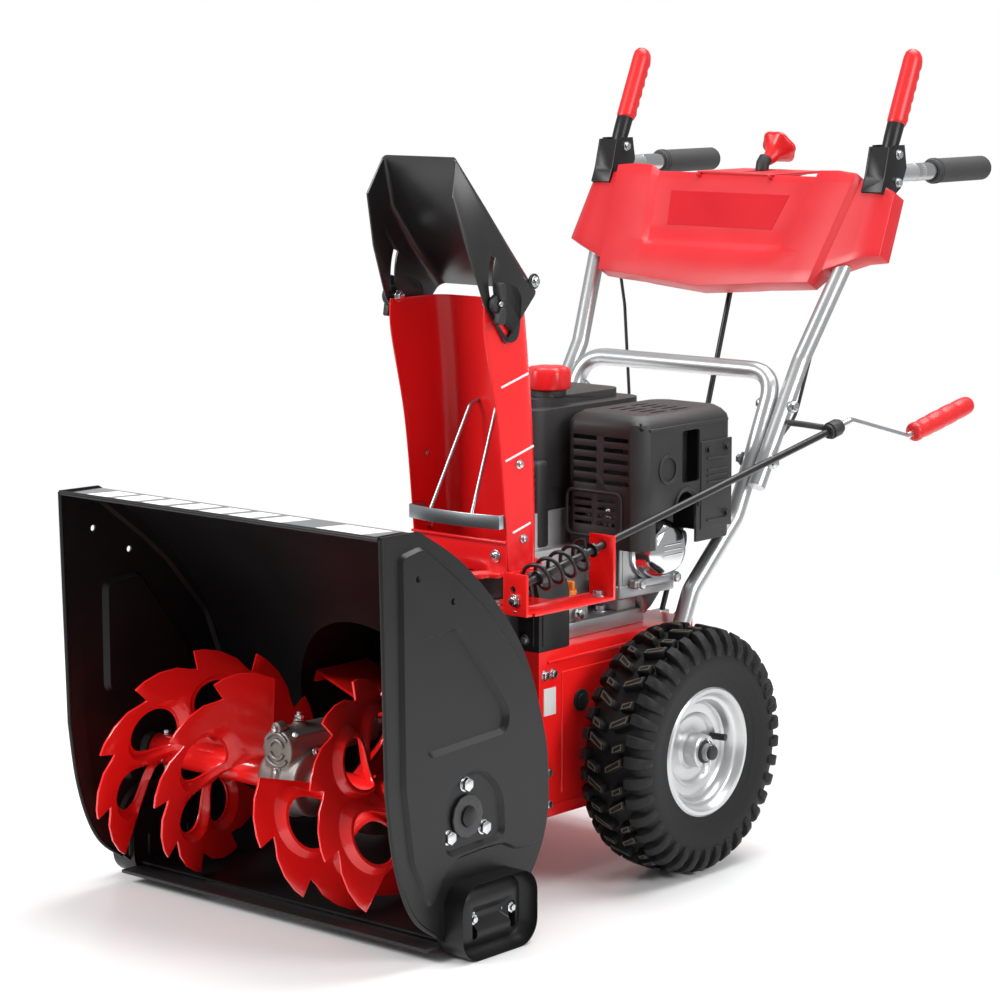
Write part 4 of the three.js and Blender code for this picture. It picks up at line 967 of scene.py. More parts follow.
def channel_skin(name, stations, thickness):
    """Sheet through several channel sections, thickened inwards."""
    loops = [channel_loop(*station) for station in stations]
    count = len(loops[0])
    points = [at(*p) for loop in loops for p in loop]
    faces = [(i * count + j, i * count + j + 1, (i + 1) * count + j + 1, (i + 1) * count + j)
             for i in range(len(loops) - 1) for j in range(count - 1)]
    piece = mesh_piece(name, points, faces)
    edit(outward)
    apply_modifier(piece, "SOLIDIFY", thickness=thickness * MM, offset=0)
    return piece


def between(stations, steps):
    """Adds smooth stations between the drawn ones."""
    flat = [(s[0][0], s[0][1], s[1][0], s[1][1], s[2], s[3], s[4]) for s in stations]
    result = []
    for i in range(len(flat) - 1):
        rows = [Vector(flat[min(max(k, 0), len(flat) - 1)]) for k in (i - 1, i, i + 1, i + 2)]
        for k in range(steps):
            t = k / steps
            p0, p1, p2, p3 = rows
            row = 0.5 * (2 * p1 + (p2 - p0) * t + (2 * p0 - 5 * p1 + 4 * p2 - p3) * t * t
                         + (3 * p1 - p0 - 3 * p2 + p3) * t ** 3)
            result.append(((row[0], row[1]), (row[2], row[3]), row[4], row[5], row[6]))
    last = flat[-1]
    result.append(((last[0], last[1]), (last[2], last[3]), last[4], last[5], last[6]))
    return result


CHUTE_STATIONS = [((-278, 430), (-212, 430), 78.8, 78.8, 24), ((-283, 500), (-212, 500), 78.8, 78.8, 24),
                  ((-297, 620), (-216, 620), 78.8, 78.8, 26), ((-321, 728), (-226, 728), 78.8, 78.8, 28),
                  ((-322, 770), (-232, 770), 78.8, 78.8, 28)]
walls = channel_skin("chute_walls", between(CHUTE_STATIONS, 7), 2.5)
rounded(walls, 0.8, 2, 60)
teeth_points = []
for k in range(96):
    radius = 88 if k % 4 in (0, 1) else 82.5
    turn = 2 * math.pi * k / 96
    teeth_points.append((CHUTE_X + radius * math.cos(turn), CHUTE_Y + radius * math.sin(turn)))
ring_points = [at(x, y, 425) for x, y in teeth_points] + [at(x, y, 431) for x, y in teeth_points]
ring = mesh_piece("chute_ring", ring_points, [tuple(range(95, -1, -1)), tuple(range(96, 192))]
                  + [(k, (k + 1) % 96, 96 + (k + 1) % 96, 96 + k) for k in range(96)])
carve(ring, rod("mouth", "z", 55, 420, 440, (CHUTE_X, CHUTE_Y, 0), 64))
rounded(ring, 0.8, 2, 40)
lip_plate = block("chute_lip", (CHUTE_X - 79, -281, 428), (CHUTE_X + 79, -278.4, 470), 1.0)
rim_fold = block("chute_fold", (CHUTE_X - 79, -286, 467), (CHUTE_X + 79, -278.4, 470.5), 1.2)
steps = []
for side in (-1, 1):
    for z, low, high in ((672, -292, -240), (579, -284, -230), (484, -270, -236)):
        wall_x = CHUTE_X + side * 80.0
        rise = 0.13 * (high - low)
        steps.append(tube("pressed_step", [(wall_x, low, z - rise), (wall_x, high, z + rise)], 1.5, 4))
chute = merge([walls, ring, lip_plate, rim_fold], "red_chute")
done(chute, chute_red, "chute_body", "red_plastic", "chute", angle=35)
# painted highlight: the pressed steps are coloured pale pink-white, standing in for the light they catch, not
# the red of the moulding
step_highlight_paint = coating("painted_step_highlight", (0.85, 0.70, 0.70), 0.4, grain=300, bump=0.02)
done(merge(steps, "chute_steps"), step_highlight_paint, "chute_body", "red_plastic")
foot_bolts = []
for side in (-1, 1):
    x = CHUTE_X + side * 80.2
    for y, z in ((-258, 566), (-250, 470)):
        foot_bolts.append(hex_bolt((x, y, z), (side, 0, 0), 8, 4, 6))
        foot_bolts.append(hex_bolt((x - side * 3, y, z), (-side, 0, 0), 8, 4))
foot_bolts += [hex_bolt((CHUTE_X - 62, -281, 450), (0, -1, 0), 9, 5, 8),
               hex_bolt((CHUTE_X + 62, -281, 450), (0, -1, 0), 9, 5, 8)]
bolt_set("chute_bolts", "chute_body", foot_bolts)

# ---------------------------------------------------------------------------
# Chute guard: a zinc plated strap bent to a low gable across the throat, with
# two plated wires up to the back wall.
strap_line = [(CHUTE_X - 76, -262), (CHUTE_X - 76, -291), (CHUTE_X - 28, -300), (CHUTE_X + 28, -300),
              (CHUTE_X + 76, -291),
              (CHUTE_X + 76, -262)]
points = [at(x, y, z) for z in (486, 504) for x, y in strap_line]
strap = mesh_piece("guard_strap", points, [(k, k + 1, k + 7, k + 6) for k in range(5)])
apply_modifier(strap, "SOLIDIFY", thickness=2.2 * MM, offset=0)
rounded(strap, 0.7, 2, 25)
guard = [strap]
for x in (-22, 22):
    guard.append(tube("guard_wire", bent_line([(CHUTE_X + x, -219, 636), (CHUTE_X + x, -234, 632),
                                                (CHUTE_X + x * 1.6, -297, 500)], 10), 2.6, 5))
dull_zinc = coating("dull_zinc", (0.42, 0.45, 0.47), 0.34, metallic=0.95, grain=240, bump=0.06, spread=0.1,
                    tint=0.2)
done(merge(guard, "guard_strap_wires"), dull_zinc, "chute_body", "bright_steel", "chute_guard", angle=35)

# ---------------------------------------------------------------------------
# Deflector: satin black moulding hinged over the chute, folded in at its nose,
# with an arc slot each side for the wing knob's stud.
HOOD_Y = -226.0
HOOD_Z = 800.0
SLOT_R = 88.0
hood_black = coating("hood_black", (0.012, 0.012, 0.0125), 0.33, grain=300, bump=0.06, spread=0.06, tint=0.15)


def arc_points(radius, low, high, steps):
    spots = []
    for k in range(steps + 1):
        turn = math.radians(low + (high - low) * k / steps)
        spots.append((HOOD_Y - radius * math.cos(turn), HOOD_Z + radius * math.sin(turn)))
    return spots


def slab_x(name, loop, x0, x1):
    """Flat loop of (y, z) pushed between two stations across the machine."""
    count = len(loop)
    points = [at(x0, y, z) for y, z in loop] + [at(x1, y, z) for y, z in loop]
    faces = [tuple(range(count - 1, -1, -1)), tuple(range(count, 2 * count))]
    faces += [(k, (k + 1) % count, count + (k + 1) % count, count + k) for k in range(count)]
    piece = mesh_piece(name, points, faces)
    edit(outward)
    return piece


HOOD_STATIONS = [((-287, 720), (-224, 784), 82.8, 82.8, 12), ((-326, 771), (-270, 836), 82.8, 82.8, 12),
                 ((-352, 838), (-315, 889), 78.8, 80.8, 10), ((-371, 904), (-352, 951), 71, 61, 6)]
hood = channel_skin("hood_walls", HOOD_STATIONS, 2.5)
slot_loop = arc_points(SLOT_R - 4.6, -52, 20, 24) + arc_points(SLOT_R + 4.6, -52, 20, 24)[::-1]
carve(hood, slab_x("slot", slot_loop, CHUTE_X - 120, CHUTE_X + 120))
rounded(hood, 0.9, 2, 30)
hinge = [rod("hinge", "x", 10, CHUTE_X + s * 82.8 - 1.25, CHUTE_X + s * 82.8 + 1.25,
             (0, HOOD_Y - 6, HOOD_Z - 6), 32, 0.6)
         for s in (-1, 1)]
for side in (-1, 1):
    loop = soft_loop([(-287, 720), (-326, 771), (-300, 800), (-255, 786), (-262, 722)], 18, 8)
    x = CHUTE_X + side * 82.8
    corner = slab_x("hood_cheek", loop, x - 1.25, x + 1.25)
    carve(corner, slab_x("slot", slot_loop, CHUTE_X - 120, CHUTE_X + 120))
    hinge.append(corner)
done(merge([hood] + hinge, "hood_shell"), hood_black, "hood", "black_plastic", "chute_deflector", angle=30)
pivot_pins = [hex_bolt((CHUTE_X + s * 84.2, HOOD_Y - 6, HOOD_Z - 6), (s, 0, 0), 9, 4, 7) for s in (-1, 1)]
bolt_set("hood_pins", "hood", pivot_pins)

# ---------------------------------------------------------------------------
# Wing knobs: black moulded wings on a ribbed boss, with the stud's plated end
# showing in the middle.
KNOB_Y = HOOD_Y - SLOT_R * math.cos(0.325)
KNOB_Z = HOOD_Z - SLOT_R * math.sin(0.325)
for side, hand in ((1, "left"), (-1, "right")):
    def out(low, high, side=side):
        return (CHUTE_X + low, CHUTE_X + high) if side > 0 else (CHUTE_X - high, CHUTE_X - low)

    boss = rod("knob_boss", "x", 12.5, *out(86, 94), (0, KNOB_Y, KNOB_Z), 32, 1.5)
    carve(boss, rod("stud_bore", "x", 5, *out(92, 102), (0, KNOB_Y, KNOB_Z), 24))
    wings = []
    for way in (-1, 1):
        loop = soft_loop([(KNOB_Y - 3, KNOB_Z + way * 4), (KNOB_Y - 7, KNOB_Z + way * 26),
                          (KNOB_Y + 7, KNOB_Z + way * 26),
                          (KNOB_Y + 9, KNOB_Z + way * 6)], 4, 4)
        wings.append(slab_x("wing", loop, *out(89, 98)))
    for wing in wings:
        rounded(wing, 1.4, 2, 30)
    knob = merge([boss] + wings, f"wing_knob_{hand}_made")
    done(knob, black_plastic, f"knob_{hand}", "black_plastic", f"wing_knob_{hand}")
    stud = rod("stud", "x", 3.6, *out(70, 97), (0, KNOB_Y, KNOB_Z), 24, 1)
    head = hex_bolt((CHUTE_X + side * 76, KNOB_Y, KNOB_Z), (-side, 0, 0), 10, 5, 8)
    bolt_set(f"knob_stud_{hand}", "chute_body", [stud, head])

# ---------------------------------------------------------------------------
# Chute crank: black rod with a wire worm in a red angle bracket, a ball guide
# on the upright, and a cranked end with a ribbed red grip.
WORM_START = Vector((216, -223, 434))
ROD_EYE = Vector((262, 312, 560))
rod_way = (ROD_EYE - WORM_START).normalized()
crank_down = (Vector((0, 0, -1)) + rod_way * rod_way.z).normalized()
crank_side = rod_way.cross(crank_down)
ROD_END = (ROD_EYE - WORM_START).length + 38


def along_rod(distance, down=0.0, aside=0.0):
    return WORM_START + rod_way * distance + crank_down * down + crank_side * aside


def lofted(name, loops):
    """A closed skin through loops of equal length, with both ends filled."""
    wide = len(loops[0])
    last = wide * (len(loops) - 1)
    faces = [(wide * i + k, wide * i + (k + 1) % wide, wide * i + wide + (k + 1) % wide, wide * i + wide + k)
             for i in range(len(loops) - 1) for k in range(wide)]
    faces += [tuple(range(wide - 1, -1, -1)), tuple(range(last, last + wide))]
    piece = mesh_piece(name, [p for loop in loops for p in loop], faces)
    edit(outward)
    return piece


satin_black = coating("satin_black_rod", (0.012, 0.012, 0.0125), 0.34, metallic=0.3, grain=400, bump=0.08)
hand_start = along_rod(ROD_END + 112, 61)
rod_line = bent_line([along_rod(-78), along_rod(ROD_END - 20)], 16)
worm_line = []
for k in range(4 * 24 + 13):
    turn = k * math.pi / 12
    worm_line.append(along_rod(-52 + 23 * turn / (2 * math.pi), 18.5 * math.cos(turn), 18.5 * math.sin(turn)))
worm_line = [along_rod(-52)] + worm_line + [along_rod(-52 + 23 * 4.5)]
crank = [tube("crank_rod", rod_line, 5, 8), tube("crank_worm", worm_line, 2.6, 4)]
for distance in (-70, -40, 44, 62):
    washer_line = [along_rod(distance), along_rod(distance + 3)]
    crank.append(tube("crank_washer", washer_line, 9.5, 8))
done(merge(crank, "crank_rod_worm"), satin_black, "crank_rod", "bright_steel", "chute_crank")
arm_line = bent_line([along_rod(ROD_END - 24), along_rod(ROD_END), hand_start, hand_start + rod_way * 146], 16)
arm = [tube("crank_arm", arm_line, 4.6, 8), tube("rod_pin", [along_rod(-74, -9), along_rod(-74, 12)], 1.6, 4)]
done(merge(arm, "crank_arm_plated"), zinc, "crank_rod", "bright_steel")
grip_red = coating("grip_red", (0.60, 0.010, 0.012), 0.34, grain=500, bump=0.08, spread=0.06, tint=0.08)
grip_start = hand_start + rod_way * 14
turned_grip = [(0, 11.5), (3, 14), (12, 14), (16, 12), (20, 13.6), (34, 14.2), (38, 12.6), (42, 14.2),
               (64, 14.4), (68, 12.8),
               (72, 14.4), (94, 14.2), (98, 12.6), (102, 14.0), (122, 13.6), (130, 12.6), (135, 9.5)]
grip_loops = [[at(*(grip_start + rod_way * distance + crank_down * radius * math.cos(turn)
                    + crank_side * radius * math.sin(turn))) for turn in (math.pi * k / 16 for k in range(32))]
              for distance, radius in turned_grip]
hand_grip = lofted("crank_hand_grip", grip_loops)
apply_modifier(hand_grip, "SUBSURF", levels=1, render_levels=1)
done(hand_grip, grip_red, "crank_handle", "red_plastic", "crank_grip", angle=60)
done(eased("crank_guide", 1.2), black_plastic, "chassis", "black_plastic", "crank_guide")
ball = []
for distance in (ROD_END - 48, ROD_END - 28):
    ball.append(tube("guide_bead", [along_rod(distance - 3), along_rod(distance + 3)], 10, 8))
done(merge(ball, "crank_guide_ball"), black_plastic, "crank_rod", "black_plastic")
done(eased("chute_bracket", 1.0), red_coat, "chassis", "red_coat", "chute_bracket")
fittings = [hex_bolt((213, -296, 387.4), (0, 0, 1), 12, 6, 9),
            hex_bolt((213, -304.2, 402), (0, -1, 0), 10, 5, 8),
            hex_bolt((222, -150, 387.4), (0, 0, 1), 12, 6, 9),
            hex_bolt((160, -281, 387.4), (0, 0, 1), 10, 5, 8)]
bolt_set("bracket_bolts", "chassis", fittings)

# ---------------------------------------------------------------------------
# Engine: die-cast crankcase and finned cylinder, as cast, with machined feet
# bolted to the frame, an orange dipstick and a drain plug.
die_cast = coating("die_cast", (0.42, 0.43, 0.435), 0.4, metallic=0.85, grain=380, bump=0.25, spread=0.1,
                   tint=0.18)
done(eased("engine_block", 1.4, 0.5), die_cast, "chassis", "cast_alloy", "engine_block")
case_ribs = [block("case_rib", (x - 2, -120, 340), (x + 2, -108, 462), 1.2) for x in (-60, -36, 36, 52)]
case_ribs += [block("case_boss", (84, -96, 331), (126, -52, 352), 4, 3),
              block("case_boss", (84, 10, 331), (126, 50, 352), 4, 3)]
case_ribs += [block("head_flange", (136, -14, 352), (148.2, 104, 372), 3, 3),
              block("head_flange", (148, 4, 366), (160, 102, 378), 3, 3)]
case_ribs += [block("head_fin", (x, -14, 366), (x + 3, 102, 470), 0.8) for x in (138, 144)]
done(merge(case_ribs, "crankcase_ribs"), die_cast, "chassis", "cast_alloy")
orange = coating("dipstick_orange", (0.82, 0.20, 0.012), 0.4, grain=400, bump=0.06)
dipstick = [rod("dipstick", "z", 10, 352, 372, (112, -76, 0), 32, 2),
            block("dipstick_tab", (104, -79, 370), (120, -73, 384), 2, 3)]
done(merge(dipstick, "oil_dipstick"), orange, "chassis", "red_plastic")
feet = [hex_bolt((x, y, 331), (0, 0, 1), 13, 7, 10) for x, y in ((104, -40), (104, -2), (-96, -40), (-96, 40))]
feet += [hex_bolt((160, y, 372), (1, 0, 0), 11, 5, 7)
         for y in (14, 90)] + [hex_bolt((130.4, -80, 342), (1, 0, 0), 12, 6, 8)]
bolt_set("engine_bolts", "chassis", feet)

# ---------------------------------------------------------------------------
# Rocker cover: polished pressed dome over the cylinder head, blank but for
# three low ridges, with a flat flange rolled round its edge.
polished = coating("polished_cover", (0.72, 0.73, 0.74), 0.14, metallic=1.0, grain=160, bump=0.03, spread=0.06,
                   tint=0.08)
DOME_Y = 53
DOME_Z = 417
DOME_R = 41
dome_loops = []
for out_x, shrink_by in ((148.4, -4), (153, -4), (154, 0), (168, 2), (177, 6), (182, 12), (184, 20)):
    loop = []
    for k in range(48):
        turn = 2 * math.pi * k / 48
        loop.append((out_x, DOME_Y + (DOME_R - shrink_by) * math.cos(turn) * (1.06 - 0.10 * math.sin(turn)),
                     DOME_Z + (DOME_R - shrink_by) * math.sin(turn)))
    dome_loops.append(loop)
dome = lofted("rocker_dome", [[at(*p) for p in loop] for loop in dome_loops])
rounded(dome, 1.2, 2, 25)
ridges = [tube("dome_ridge", [(184.3, 34, DOME_Z + z), (184.3, 72, DOME_Z + z)], 1.0, 3) for z in (-7, 0, 7)]
done(merge([dome] + ridges, "rocker_cover"), polished, "chassis", "cast_alloy", "valve_cover", angle=40)

# ---------------------------------------------------------------------------
# Winter hood: textured black moulding over head and carburettor, chamfered all
# round, with louvres in front, vents on top and cut-outs on its open side.
outer_loop = [(84, -35), (181, -35), (189, -31), (196, -24), (200, -16), (200, 150), (196, 158), (189, 165),
              (181, 169),
              (84, 169), (76, 165), (69, 158), (65, 150), (65, -16), (69, -24), (76, -31)]
hood_loops = [[at(x + (pull if x < 130 else -pull), y + (pull if y < 60 else -pull), z) for x, y in outer_loop]
              for z, pull in ((425, 0), (586, 0), (592, 1.5), (598, 6), (603, 13))]
shell = lofted("winter_hood", hood_loops)
inner = block("hood_hollow", (69, -31, 400), (196, 165, 598), 12, 2)
carve(shell, inner)
cutters = [block("cut", (180, 52, 508), (215, 90, 578), 4, 2),
           block("cut", (180, -4, 400), (215, 84, 474), 3, 2),
           rod("cut", "x", 22, 180, 215, (0, 62, 474), 40)]
for row in range(5):
    z = 571 - row * 14.5
    cutters += [block("cut", (84, -45, z - 3), (124, -28, z + 3), 1.5),
                block("cut", (136, -45, z - 3), (178, -28, z + 3), 1.5)]
for row in range(4):
    z = 488 - row * 10.5
    cutters += [block("cut", (86, -45, z - 2.2), (116, -28, z + 2.2), 1.2),
                block("cut", (126, -45, z - 2.2), (156, -28, z + 2.2), 1.2)]
for k in range(5):
    cutters += [block("cut", (98 + 17 * k, 20, 594), (106 + 17 * k, 54, 610), 3, 2),
                block("cut", (98 + 17 * k, 66, 594), (106 + 17 * k, 100, 610), 3, 2)]
for cutter in cutters:
    carve(shell, cutter)
rounded(shell, 1.2, 2, 25)
done(shell, black_plastic, "chassis", "black_plastic", "engine_cover", angle=30)
shell.name = "winter_hood_shell"
trims = []
frame_line = soft_loop([(74, 440), (166, 440), (166, 500), (74, 500)], 12, 5)
ring_line = [(x, -35.5, z) for x, z in frame_line]
trims.append(tube("louvre_frame", ring_line + [ring_line[0]], 2.6, 4))
trims.append(block("belt_line", (199, -18, 583), (201.6, 152, 587), 1.2))
trims.append(rod("port", "x", 20, 196, 202, (0, 21, 530), 48, 1.5))
port_cut = rod("port_cut", "x", 15.5, 199, 206, (0, 21, 530), 48)
carve(trims[-1], port_cut)
trims += [block("panel", (199, 92, 440), (202, 160, 560), 3.5, 3)]
trims += [tube("panel_rib", [(202.4, 104, z), (202.4, 150, z)], 1.3, 3) for z in (536, 520, 512, 504, 452)]
trims += [tube("arch", [(201, 62 + 26 * math.cos(math.radians(a)), 474 + 26 * math.sin(math.radians(a)))
                        for a in range(0, 181, 12)], 2, 3)]
done(merge(trims, "winter_hood_trim"), black_plastic, "chassis", "black_plastic")
black_screws = [hex_bolt((201.6, y, z), (1, 0, 0), 8, 4, 6) for y, z in ((106, 548), (146, 548), (146, 458))]
bolt_set("winter_hood_screws", "chassis", black_screws, grommet_black, "tyre_rubber")
louvre_screw = hex_bolt((141, -30, 472), (0, -1, 0), 8, 3, 6)
bolt_set("louvre_screw", "chassis", [louvre_screw])
inside_dark = [block("carburettor", (120, 20, 500), (176, 100, 590), 8, 3),
               rod("inlet_pipe", "x", 17, 120, 190, (0, 40, 486), 32, 2)]
done(merge(inside_dark, "carburettor_body"), cast_iron, "chassis", "cast_iron")

# ---------------------------------------------------------------------------
# Recoil starter: black moulded shroud over the flywheel with radial vents, a
# polished lower guard, and a rubber pull handle.
STARTER_Z = 386
done(eased("recoil_starter", 3.0, 0.5, 3), black_plastic, "chassis", "black_plastic", "recoil_starter")
vents = []
for k in range(18):
    turn = 2 * math.pi * k / 18
    inner_r, outer_r = 34, 66
    line = [(radius * math.cos(turn + sweep), 138.6, STARTER_Z + radius * math.sin(turn + sweep))
            for radius, sweep in ((inner_r, 0), (50, 0.12), (outer_r, 0.3))]
    vents.append(tube("vent_rib", line, 2.0, 3))
hub_ring = [(26 * math.cos(a), 138.4, STARTER_Z + 26 * math.sin(a))
            for a in (math.radians(6 * k) for k in range(61))]
outer_ring = [(70 * math.cos(a), 138.4, STARTER_Z + 70 * math.sin(a))
              for a in (math.radians(6 * k) for k in range(61))]
vents += [tube("vent_ring", hub_ring, 2.4, 3), tube("vent_ring", outer_ring, 2.4, 3)]
done(merge(vents, "recoil_vents"), black_plastic, "chassis", "black_plastic")
bolt_set("recoil_screws", "chassis", [hex_bolt((82 * math.cos(a), 112, STARTER_Z + 82 * math.sin(a)), (0, 1, 0),
                                               9, 4, 7)
                                      for a in (math.radians(d) for d in (25, 90, 155, 205, 335))])
soft_grip = coating("soft_grip", (0.030, 0.030, 0.031), 0.72, grain=900, bump=0.4, spread=0.08, tint=0.2)
done(eased("starter_handle", 2.0, 0.5, 3), soft_grip, "pull_handle", "soft_rubber", "starter_handle")
chrome = coating("chrome_shroud", (0.55, 0.56, 0.58), 0.12, metallic=1.0, grain=120, bump=0.05, spread=0.06,
                 tint=0.1)
shroud_line = [(-40, 424), (-10, 400), (24, 372), (50, 345), (56, 322)]
points = [at(x, y, z) for y, z in shroud_line for x in (70, 96, 124, 142)]
curved = mesh_piece("curved_shroud", points, [(4 * i + j, 4 * i + j + 1, 4 * i + 5 + j, 4 * i + 4 + j)
                                              for i in range(4) for j in range(3)])
apply_modifier(curved, "SOLIDIFY", thickness=2.5 * MM, offset=0)
apply_modifier(curved, "SUBSURF", levels=2, render_levels=2)
done(curved, chrome, "chassis", "cast_alloy")
curved.name = "cylinder_shroud"
guard_loop = soft_loop([(64, 322), (84, 322), (168, 400), (168, 424), (140, 424), (56, 345)], 12, 5)
guard = slab_x("lower_guard", guard_loop, 66, 122)
rounded(guard, 4, 3, 30)
done(guard, black_plastic, "chassis", "black_plastic")
guard.name = "lower_guard_moulding"

# ---------------------------------------------------------------------------
# Fuel tank: black moulded tank with a domed top, ribbed front and a screw
# neck; its cap is a red three-lobed moulding.
tank = eased("fuel_tank", 9.0, 0.5, 4, 40)
done(tank, black_plastic, "chassis", "black_plastic", "fuel_tank", angle=45)
tank_ribs = [block("tank_rib", (22, -91, 432 + 11 * k), (62, -84, 438 + 11 * k), 2, 2) for k in range(9)]
tank_ribs.append(block("tank_front", (8, -88, 420), (66, -60, 540), 8, 3))
done(merge(tank_ribs, "cooling_cowl"), black_plastic, "chassis", "black_plastic")
cap_loops = []
for z, radius, depth in ((626.4, 27, 0), (628, 30, 0.6), (634, 31, 1.5), (650, 30.5, 2.0), (655, 28, 2.2),
                         (657, 24, 2.0), (657.5, 10, 0.4)):
    loop = []
    for k in range(72):
        turn = 2 * math.pi * k / 72
        spread = radius - depth * (0.5 + 0.5 * math.cos(6 * turn)) * 1.6
        loop.append(at(20 + spread * math.cos(turn), -10 + spread * math.sin(turn), z))
    cap_loops.append(loop)
fuel = lofted("fuel_cap_lobed", cap_loops)
rounded(fuel, 0.8, 2, 40)
cap_red = coating("cap_red", (0.62, 0.008, 0.010), 0.3, grain=400, bump=0.06)
done(fuel, cap_red, "cap", "red_plastic", "fuel_cap", angle=45)

# ---------------------------------------------------------------------------
# Exhaust: pressed steel can, discoloured by heat, with a row of louvres
# pressed into its outer face.
heat_steel = coating("heat_marked_steel", (0.30, 0.29, 0.28), 0.38, metallic=0.95, grain=120, bump=0.06,
                     spread=0.12, tint=0.3)
done(eased("muffler", 3.0, 0.5, 3), heat_steel, "chassis", "bright_steel", "muffler")
louvres = [block("muffler_louvre", (-181, -44 + 17 * k, 384), (-176.5, -36 + 17 * k, 446), 1.6)
           for k in range(8)]
done(merge(louvres, "muffler_louvres"), heat_steel, "chassis", "bright_steel")

# ---------------------------------------------------------------------------
# Handle tubes: 25 mm steel tube, bent and painted satin silver; the lower hoop
# is bolted to the frame and the uprights are bolted to it.
tube_silver = coating("tube_silver", (0.50, 0.505, 0.51), 0.3, metallic=0.8, grain=420, bump=0.06, spread=0.06,
                      tint=0.08)
TUBE_R = 12.4
HOOP_X = 173
UPRIGHT_X = 198.5
GRIP_X = 246
GRIP_Z = 904
LEVER_X = 243.0
leg = [(76, 262), (84, 300), (108, 352), (205, 440), (242, 512), (299, 634)]
hoop = [(HOOP_X, y, z) for y, z in leg] + [(-HOOP_X, y, z) for y, z in leg[::-1]]
done(tube("lower_hoop", bent_line(hoop, 44), TUBE_R, 10), tube_silver, "chassis", "silver_tube", "lower_handle",
     angle=50)
chrome_end = coating("bright_tube_end", (0.62, 0.63, 0.64), 0.16, metallic=1.0, grain=200, bump=0.03,
                     spread=0.05)
for side, hand in ((1, "left"), (-1, "right")):
    upright = bent_line([(side * UPRIGHT_X, 220, 484), (side * UPRIGHT_X, 322, 650), (side * 243, 455, GRIP_Z),
                         (side * GRIP_X, 540, GRIP_Z)], 45)
    done(tube(f"upright_tube_{hand}", upright, TUBE_R, 10), tube_silver, "chassis", "silver_tube",
         f"upright_{hand}", angle=50)
    tip = tube(f"upright_end_{hand}", [(side * 245.4, 522, GRIP_Z), (side * GRIP_X, 700, GRIP_Z)],
               TUBE_R + 0.25, 10)
    done(tip, chrome_end, "chassis", "silver_tube", angle=50)
    bolts = [hex_bolt((side * (UPRIGHT_X + TUBE_R), y, z), (side, 0, 0), 13, 6, 10) for y,
             z in ((240, 517), (285, 590))]
    bolts += [hex_bolt((side * (HOOP_X - TUBE_R), y, z), (-side, 0, 0), 13, 6, 10) for y,
              z in ((240, 517), (285, 590))]
    bolts += [hex_bolt((side * (HOOP_X + TUBE_R), y, z), (side, 0, 0), 13, 6, 10) for y,
              z in ((79, 276), (84, 302))]
    bolt_set(f"handle_bolts_{hand}", "chassis", bolts)
    sleeve = rod(f"foam_grip_{hand}", "y", 17.5, 566, 704, (side * GRIP_X, 0, GRIP_Z), 48, 5)
    carve(sleeve, rod("grip_bore", "y", 12.9, 560, 700, (side * GRIP_X, 0, GRIP_Z), 32))
    rings = [tube("grip_ring", [(side * GRIP_X + 17.4 * math.cos(a), y, GRIP_Z + 17.4 * math.sin(a))
                                for a in (math.radians(10 * k) for k in range(37))], 1.1, 3)
             for y in (572, 577)]
    done(merge([sleeve] + rings, f"foam_grip_{hand}"), soft_grip, "chassis", "soft_rubber", f"grip_{hand}",
         angle=40)

# ---------------------------------------------------------------------------
# Dashboard: red moulded fascia with a raised hexagonal frame, a sunk blank
# panel, a ridge at each side and lower wings, clipped between the uprights.
DASH_Y = 360.0
DASH_Z = 764.0
DASH_LEAN = 0.484
fascia_red = coating("fascia_red", (0.54, 0.010, 0.016), 0.36, grain=900, bump=0.10, spread=0.06, tint=0.06)


def on_fascia(x, up, height):
    """Place on the leaning face: across, up along it, and out of it towards the front."""
    return at(x, DASH_Y + up * math.sin(DASH_LEAN) - height * math.cos(DASH_LEAN),
              DASH_Z + up * math.cos(DASH_LEAN) + height * math.sin(DASH_LEAN))


def well_side(v):
    return mix(125, 149, (v - 28) / 124)


def block_side(v):
    return mix(189, 214, (v + 12) / 162)


def outer_side(v):
    return mix(276, 269, (v - 44) / 98)


# each column: where it runs across, its foot and head up the face, and how far it stands out
face_columns = [(lambda v: 0.0, -27, 152, 4.5), (lambda v: 50.0, -22.5, 152, 4.5),
                (lambda v: 95.0, -18.5, 152, 4.5),
                (lambda v: well_side(v) - 7, -16.5, 152, 4.5), (well_side, -16, 158, 4.5),
                (lambda v: mix(well_side(v), block_side(v), 0.5), -13.5, 159, 4.5),
                (lambda v: block_side(v) - 2, -11, 156, 4.5),
                (lambda v: block_side(v) + 4, 11, 149, -4.6), (lambda v: 238.0, 28, 146, -4.8),
                (lambda v: 256.0, 36, 143, -6.0),
                (outer_side, 44, 139, -17.0)]
rows = [-11, 8, 28, 34, 40, 46, 70, 95, 120, 140, 156]
wide = 2 * len(face_columns) - 1
skin = []
for i, level in enumerate(rows):
    part = (level - rows[0]) / (rows[-1] - rows[0])
    line = []
    for j, (across, foot, head, out) in enumerate(face_columns):
        v = mix(foot, head, part) if j > 6 or i in (0, 10) else (mix(foot, 28, 0.5) if i == 1 else level)
        sunk = 8.5 * min(1.0, max(0.0, (level - 28) / 18)) if j < 4 else 0.0
        line.append((across(v), v, out - sunk))
    skin += [on_fascia(-u, v, h) for u, v, h in line[:0:-1]] + [on_fascia(u, v, h) for u, v, h in line]
faces = [(wide * i + j, wide * i + j + 1, wide * (i + 1) + j + 1, wide * (i + 1) + j) for i in range(10)
         for j in range(wide - 1)]
border = (list(range(wide)) + [wide * i + wide - 1 for i in range(1, 11)]
          + list(range(wide * 11 - 2, wide * 10 - 1, -1)))
border += [wide * i for i in range(9, 0, -1)]
back = Vector(on_fascia(0, 0, -26)) - Vector(on_fascia(0, 0, 0))
first = len(skin)
skin += [Vector(skin[k]) + back for k in border]
